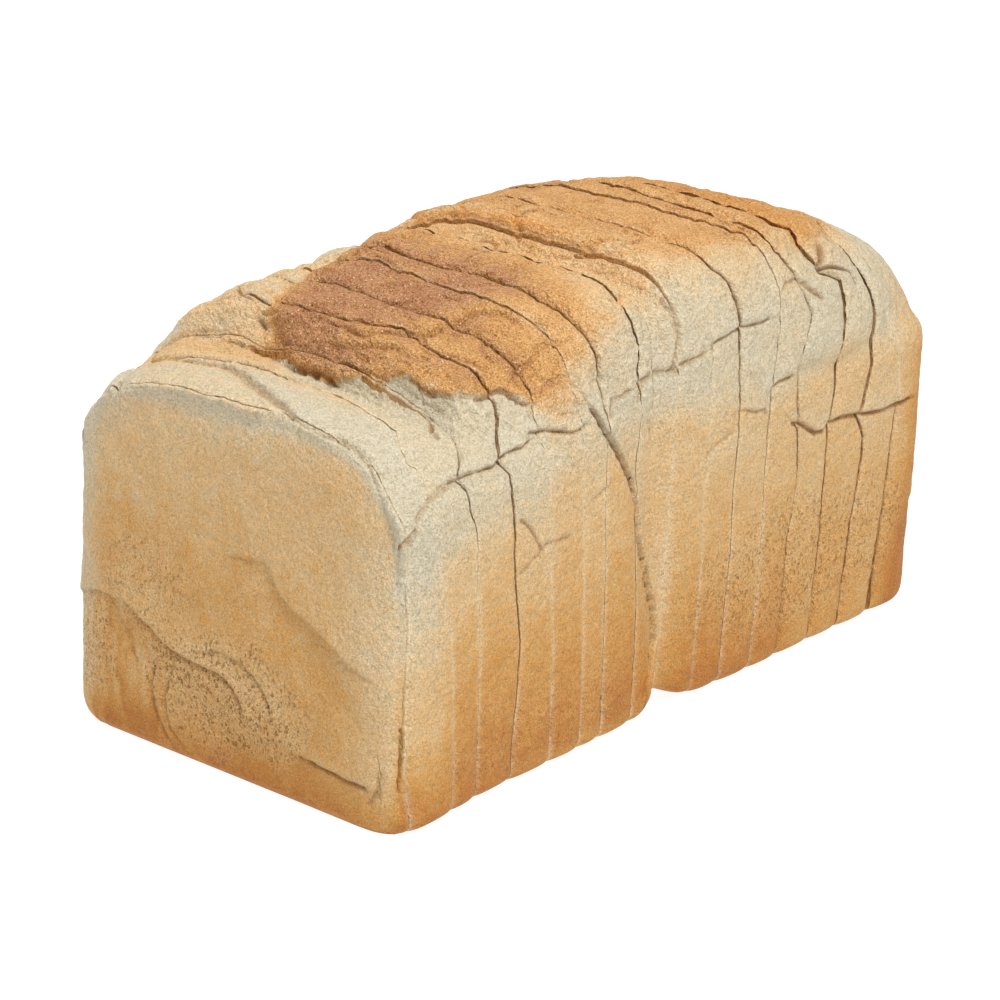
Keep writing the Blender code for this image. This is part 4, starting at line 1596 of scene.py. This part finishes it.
class NodeSheet:
    """A material's nodes."""

    def __init__(self, name: str) -> None:
        """Start a material.

        Args:
            name: Its name.
        """
        self.material = bpy.data.materials.new(name)
        self.material.use_nodes = True
        self.tree = self.material.node_tree
        self.shader = self.tree.nodes["Principled BSDF"]

    def add(self, kind: str, settings: dict | None = None, sockets: dict | None = None) -> bpy.types.Node:
        """Add a node.

        Args:
            kind: Its type.
            settings: What is set on the node itself, first.
            sockets: Values or links of its inputs, by name or number.

        Returns:
            The node.
        """
        node = self.tree.nodes.new(kind)
        for name, value in (settings or {}).items():
            if name == "stops":
                self.set_stops(node, value)
            else:
                setattr(node, name, value)
        for name, value in (sockets or {}).items():
            self.feed(node.inputs[name], value)
        return node

    def set_stops(self, node: bpy.types.Node, stops: list[tuple[float, tuple]]) -> None:
        """Set a colour ramp's stops.

        Args:
            node: The ramp.
            stops: Place and colour of each.
        """
        ramp = node.color_ramp
        while len(ramp.elements) < len(stops):
            ramp.elements.new(1.0)
        for element, (place, colour) in zip(ramp.elements, stops):
            element.position = place
            element.color = colour

    def feed(self, socket: bpy.types.NodeSocket, value: object) -> None:
        """Link or set an input.

        Args:
            socket: The input.
            value: A wire, an output, or a plain value.
        """
        if isinstance(value, Wire):
            self.tree.links.new(value.socket, socket)
        elif isinstance(value, bpy.types.NodeSocket):
            self.tree.links.new(value, socket)
        else:
            socket.default_value = value

    def math(self, operation: str, *values: "Wire | float", clamp: bool = False) -> Wire:
        """Add a Math node.

        Args:
            operation: What it does.
            values: Its inputs.
            clamp: Whether the result stays from 0 to 1.

        Returns:
            Its output.
        """
        node = self.add("ShaderNodeMath", {"operation": operation, "use_clamp": clamp}, dict(enumerate(values)))
        return Wire(self, node.outputs[0])

    def attribute(self, name: str) -> Wire:
        """Read a share that the mesh carries.

        Args:
            name: Its name.

        Returns:
            The value.
        """
        node = self.add("ShaderNodeAttribute", {"attribute_name": name})
        return Wire(self, node.outputs["Fac"])

    def blend(self, share: Wire | float, first: object, second: object, kind: str = "MIX") -> bpy.types.NodeSocket:
        """Mix two colours.

        Args:
            share: How much of the second.
            first: A colour or an output.
            second: A colour or an output.
            kind: How they are mixed.

        Returns:
            The colour output.
        """
        node = self.add("ShaderNodeMix", {"data_type": "RGBA", "blend_type": kind},
                        {0: share, 6: first, 7: second})
        return node.outputs[2]

    def noise(self, where: bpy.types.NodeSocket, size_mm: float, detail: float, rough: float = 0.5) -> Wire:
        """Noise of a given feature size.

        Args:
            where: Coordinates in metres.
            size_mm: Width of a feature.
            detail: How many finer layers.
            rough: Strength of the finer layers.

        Returns:
            Values from 0 to 1.
        """
        node = self.add("ShaderNodeTexNoise", {"noise_dimensions": "3D"},
                        {"Vector": where, "Scale": 1.0 / (size_mm * MM), "Detail": detail, "Roughness": rough})
        return Wire(self, node.outputs["Fac"])

    def ramp(self, stops: list[tuple[float, tuple]], place: Wire) -> bpy.types.NodeSocket:
        """A colour that changes with a value.

        Args:
            stops: Place and colour of each stop.
            place: The value.

        Returns:
            The colour output.
        """
        return self.add("ShaderNodeValToRGB", {"stops": stops}, {"Fac": place}).outputs["Color"]

    def spots(self, where: bpy.types.NodeSocket, size_mm: float, chance: str) -> tuple[Wire, Wire]:
        """Scattered spots.

        Args:
            where: Coordinates in metres.
            size_mm: Distance between spots.
            chance: Which channel of a spot's random colour is its chance.

        Returns:
            Distance to the nearest in cells, and its chance.
        """
        node = self.add("ShaderNodeTexVoronoi", {"feature": "F1"}, {"Vector": where, "Scale": 1.0 / (size_mm * MM)})
        parts = self.add("ShaderNodeSeparateColor", None, {"Color": node.outputs["Color"]})
        return Wire(self, node.outputs["Distance"]), Wire(self, parts.outputs[chance])


def srgb(red: float, green: float, blue: float) -> tuple[float, float, float, float]:
    """A colour as it is seen, turned into light.

    Args:
        red: From 0 to 255.
        green: From 0 to 255.
        blue: From 0 to 255.

    Returns:
        The linear colour, opaque.
    """
    shares = np.array([red, green, blue]) / 255.0
    light = np.where(shares > 0.04045, ((shares + 0.055) / 1.055) ** 2.4, shares / 12.92)
    return (*(float(value) for value in light), 1.0)


@dataclass(frozen=True)
class CrustColours:
    """Colours of the crust, from pale to most browned, as seen."""

    side: tuple = ((0.0, (210, 199, 173)), (0.15, (213, 196, 164)), (0.32, (221, 191, 147)), (0.5, (219, 179, 125)),
                   (0.68, (211, 159, 93)), (0.85, (202, 141, 71)), (1.0, (188, 121, 57)))
    crown: tuple = ((0.0, (224, 207, 174)), (0.3, (234, 195, 144)), (0.48, (227, 174, 114)), (0.62, (216, 161, 99)),
                    (0.75, (204, 150, 97)), (0.9, (192, 137, 95)), (1.0, (182, 124, 82)))
    torn: tuple = (217, 204, 176)
    # Dark brown of the pore holes, as painted shade in the pits, and of the few dark specks.
    pore: tuple = (176, 124, 70)
    # Colours of the painted shade in creases and hollows: on the pale sides, and on the browned crown.
    hollow_shade: tuple = (160, 112, 62)
    dark_hollow_shade: tuple = (132, 76, 38)
    # Pale cream of the cut edges: partly torn crumb, partly painted highlight.
    rim: tuple = (240, 220, 184)
    blister: tuple = (238, 214, 172)
    # Brown of the crust layer on the cut faces, darkened as painted shade in the gaps between slices.
    crust_edge_and_gap_shade: tuple = (190, 138, 80)
    gilt: tuple = (228, 154, 72)
    crumb: tuple = (238, 228, 204)


@dataclass(frozen=True)
class CrustGrain:
    """Sizes of the crust's grain, in millimetres, and how rough and glossy it is."""

    broad: float = 9.0
    middling: float = 2.4
    fine: float = 0.9
    dust: float = 0.42
    pore: float = 1.5
    small_pore: float = 0.8
    blister: float = 0.85
    wobble: float = 0.0014
    wobble_scale: float = 900.0
    pore_stretch: tuple[float, float, float] = (1.2, 1.2, 0.75)
    brightness: float = 0.98
    bump_strength: float = 0.8
    bump_distance: float = 0.0009
    specular: float = 0.15


class CrustFinish:
    """Baked crust: matt, finely grained, with pale torn dough, and with painted shade in its creases, hollows, pore
    holes and the gaps between slices.
    """

    def __init__(self, colours: CrustColours, grain: CrustGrain) -> None:
        """Make the material.

        Args:
            colours: Its colours.
            grain: Its grain.
        """
        self.colours = colours
        self.grain = grain
        self.sheet = NodeSheet("bread_crust")
        self.material = self.sheet.material
        self.where = self.sheet.add("ShaderNodeTexCoord").outputs["Object"]
        self.signs = {name: self.sheet.attribute(name) for name in SIGNS}
        self.broad = self.sheet.noise(self.where, grain.broad, 3.0, 0.6) - 0.5
        self.middling = self.sheet.noise(self.where, grain.middling, 3.0, 0.6) - 0.5
        self.fine = self.sheet.noise(self.where, grain.fine, 3.0, 0.7) - 0.5
        self.dust = self.sheet.noise(self.where, grain.dust, 2.0, 0.8) - 0.5
        hole = self.pore_holes()
        speck, lot = self.sheet.spots(self.where, grain.blister, "Red")
        blister = (1.0 - speck.between(0.14, 0.34)) * lot.between(0.35, 0.75)
        dark_speck = (1.0 - speck.between(0.10, 0.20)) * (1.0 - lot.between(0.03, 0.06))
        colour = self.coloured(hole, blister, dark_speck)
        shader = self.sheet.shader
        self.sheet.feed(shader.inputs["Base Color"], self.speckled(colour))
        tone, bake = self.signs["tone"], self.signs["bake"]
        height = self.dust * 0.35 + self.fine * (0.9 + 0.8 * tone) + self.middling * (2.0 + 1.6 * tone)
        height = height + blister * 0.3 - hole * 2.0
        bump = self.sheet.add("ShaderNodeBump", None, {
            "Strength": grain.bump_strength, "Distance": grain.bump_distance, "Height": height})
        self.sheet.feed(shader.inputs["Normal"], bump.outputs["Normal"])
        self.sheet.feed(shader.inputs["Roughness"], (0.62 + 0.2 * (1.0 - bake) + 0.1 * self.fine).held())
        shader.inputs["Specular IOR Level"].default_value = grain.specular

    def over(self, colour: bpy.types.NodeSocket, share: Wire, name: str) -> bpy.types.NodeSocket:
        """Lay one of the crust's colours over another.

        Args:
            colour: What it is laid over.
            share: How much of it.
            name: Which colour.

        Returns:
            The mix.
        """
        return self.sheet.blend(share, colour, srgb(*getattr(self.colours, name)))

    def pore_holes(self) -> Wire:
        """Large and small pores, taller than wide, where the crust has them.

        Returns:
            How much of a hole each place is.
        """
        sheet, grain = self.sheet, self.grain
        wander = sheet.add("ShaderNodeTexNoise", None, {
            "Vector": self.where, "Scale": grain.wobble_scale, "Detail": 1.0})
        wobbly = sheet.add("ShaderNodeVectorMath", {"operation": "MULTIPLY_ADD"}, {
            0: wander.outputs["Color"], 1: (grain.wobble,) * 3, 2: self.where})
        wobbly = sheet.add("ShaderNodeVectorMath", {"operation": "MULTIPLY"}, {
            0: wobbly.outputs["Vector"], 1: grain.pore_stretch})
        large, luck = sheet.spots(wobbly.outputs["Vector"], grain.pore, "Green")
        hole = (1.0 - large.between(0.14, 0.36)) * luck.between(0.25, 0.45)
        small, luck = sheet.spots(wobbly.outputs["Vector"], grain.small_pore, "Green")
        small_hole = (1.0 - small.between(0.12, 0.38)) * luck.between(0.45, 0.65) * 0.7
        return hole.math("MAXIMUM", small_hole) * self.signs["pores"]

    def coloured(self, hole: Wire, blister: Wire, dark_speck: Wire) -> bpy.types.NodeSocket:
        """The crust's colour without its speckle.

        Args:
            hole: Where the pores are.
            blister: Where the pale blisters are.
            dark_speck: Where the few dark specks are.

        Returns:
            The colour.
        """
        sheet, colours, signs = self.sheet, self.colours, self.signs
        bake, tone, crumb = signs["bake"], signs["tone"], signs["crumb"]
        browning = bake + self.broad * 0.30 + self.middling * (0.46 - 0.06 * tone) + self.fine * 0.34
        side, crown = (sheet.ramp([(at, srgb(*seen)) for at, seen in stops], browning)
                       for stops in (colours.side, colours.crown))
        # Painted shade along creases and torn hollows, browner on the crown.
        hollow_shade = sheet.blend(tone, srgb(*colours.hollow_shade), srgb(*colours.dark_hollow_shade))
        colour = sheet.blend(tone, side, crown)
        colour = self.over(colour, (signs["pale"] + self.middling * 0.5 * signs["pale"]).held(), "torn")
        colour = self.over(colour, (signs["pores"] * (0.14 - hole)).held(), "blister")
        # Painted shade inside the pore holes.
        colour = self.over(colour, (hole * 0.50).held(), "pore")
        colour = sheet.blend((signs["shade"] * (1.0 + 0.6 * self.middling)).held(), colour, hollow_shade)
        colour = self.over(colour, (blister * (0.30 + tone * (0.10 + 0.55 * bake))).held(), "blister")
        colour = self.over(colour, dark_speck * 0.5, "pore")
        # Cut edges made paler: partly torn crumb, partly a painted highlight on the ridges.
        colour = self.over(colour, (signs["rim"] * (0.55 - 0.30 * tone)).held(), "rim")
        # The cut faces' outer band: the crust layer's brown with the painted shade of the gaps between slices.
        colour = self.over(colour, crumb.between(0.0, 0.12) * (0.70 + 0.15 * tone), "crust_edge_and_gap_shade")
        colour = self.over(colour, signs["gilt"].held(), "gilt")
        return self.over(colour, crumb.between(0.35, 0.9), "crumb")

    def speckled(self, colour: bpy.types.NodeSocket) -> bpy.types.NodeSocket:
        """A colour with the crust's warm speckle, strongest where it is brown.

        Args:
            colour: The colour.

        Returns:
            The speckled colour.
        """
        signs, bright = self.signs, self.grain.brightness
        rugged = 0.95 + signs["tone"] * (1.5 * signs["bake"] - 0.1) + signs["pores"] * 0.4 - signs["pale"] * 0.2
        speckle = (self.dust * 1.55 + self.fine * 0.9 + self.middling * 0.35) * rugged
        half = self.sheet.add("ShaderNodeCombineColor", None, {
            "Red": (bright + speckle * 0.75) * 0.5, "Green": (bright + speckle) * 0.5,
            "Blue": (bright + speckle * 1.5) * 0.5}).outputs["Color"]
        doubled = self.sheet.blend(1.0, half, half, "ADD")
        return self.sheet.blend(1.0, colour, doubled, "MULTIPLY")


@dataclass(frozen=True)
class Lamp:
    """A soft square lamp that shines on the loaf, in metres."""

    name: str
    place: tuple[float, float, float]
    size: float
    power: float

    def hang(self) -> None:
        """Add it to the scene."""
        light = bpy.data.lights.new(self.name, "AREA")
        light.size = self.size
        light.energy = self.power
        lamp = bpy.data.objects.new(self.name, light)
        way = Vector((0.0, 0.0, 0.05)) - Vector(self.place)
        turn = way.to_track_quat("-Z", "Y").to_matrix().to_4x4()
        lamp.matrix_world = Matrix.Translation(Vector(self.place)) @ turn
        bpy.context.scene.collection.objects.link(lamp)


@dataclass(frozen=True)
class Studio:
    """A pale floor and soft light all round."""

    floor_size: float = 8.0
    floor_colour: tuple[float, float, float, float] = (0.20, 0.20, 0.20, 1.0)
    floor_glow: float = 0.92
    floor_roughness: float = 0.9
    white: tuple[float, float, float, float] = (1.0, 1.0, 1.0, 1.0)
    sky: float = 0.37
    lamps: tuple[Lamp, ...] = (
        Lamp("key", (0.67, -0.28, 1.25), 0.45, 16.3),
        Lamp("back", (-0.75, 0.45, 1.15), 0.8, 5),
        Lamp("left", (-1.2, -0.12, 0.5), 0.6, 4),
    )

    def build(self) -> None:
        """Make the floor, the sky and the lamps."""
        bm = bmesh.new()
        bmesh.ops.create_grid(bm, x_segments=8, y_segments=8, size=self.floor_size / 2.0)
        mesh = bpy.data.meshes.new("floor")
        bm.to_mesh(mesh)
        bm.free()
        floor = bpy.data.objects.new("floor", mesh)
        bpy.context.scene.collection.objects.link(floor)
        sheet = NodeSheet("pale_floor")
        sheet.shader.inputs["Base Color"].default_value = self.floor_colour
        sheet.shader.inputs["Roughness"].default_value = self.floor_roughness
        sheet.shader.inputs["Emission Color"].default_value = self.white
        sheet.shader.inputs["Emission Strength"].default_value = self.floor_glow
        mesh.materials.append(sheet.material)
        world = bpy.data.worlds.new("sky")
        world.use_nodes = True
        world.node_tree.nodes["Background"].inputs["Color"].default_value = self.white
        world.node_tree.nodes["Background"].inputs["Strength"].default_value = self.sky
        bpy.context.scene.world = world
        for lamp in self.lamps:
            lamp.hang()
        bpy.context.scene.view_settings.view_transform = "Standard"
        bpy.context.scene.view_settings.look = "None"


class TinLoaf:
    """The whole loaf: its heels and slices, front to back."""

    def __init__(self, surface: Surface, finish: CrustFinish, knife: Knife) -> None:
        """Plan the pieces.

        Args:
            surface: The loaf's plain form.
            finish: The crust's material.
            knife: Where the loaf is cut.
        """
        self.crust = Crust(surface)
        self.finish = finish
        cuts = knife.cuts(surface)
        last = len(cuts) - 2
        self.pieces = []
        for number, (front, back) in enumerate(zip(cuts[:-1], cuts[1:])):
            kind = Piece.FRONT_HEEL if number == 0 else Piece.REAR_HEEL if number == last else Piece.SLICE
            self.pieces.append(BreadSlice(number, kind, front, back))

    def build(self) -> list[bpy.types.Object]:
        """Make every piece.

        Returns:
            The pieces, front to back.
        """
        return [piece.build(self.crust, self.finish) for piece in self.pieces]


def main() -> None:
    """Build the studio and the loaf."""
    logging.basicConfig(level=logging.INFO, format="%(message)s")
    view = PhotoView()
    view.place_camera()
    Studio().build()
    finish = CrustFinish(CrustColours(), CrustGrain())
    made = TinLoaf(Surface(view), finish, Knife()).build()
    LOG.info("%d pieces", len(made))


if __name__ == "__main__":
    main()
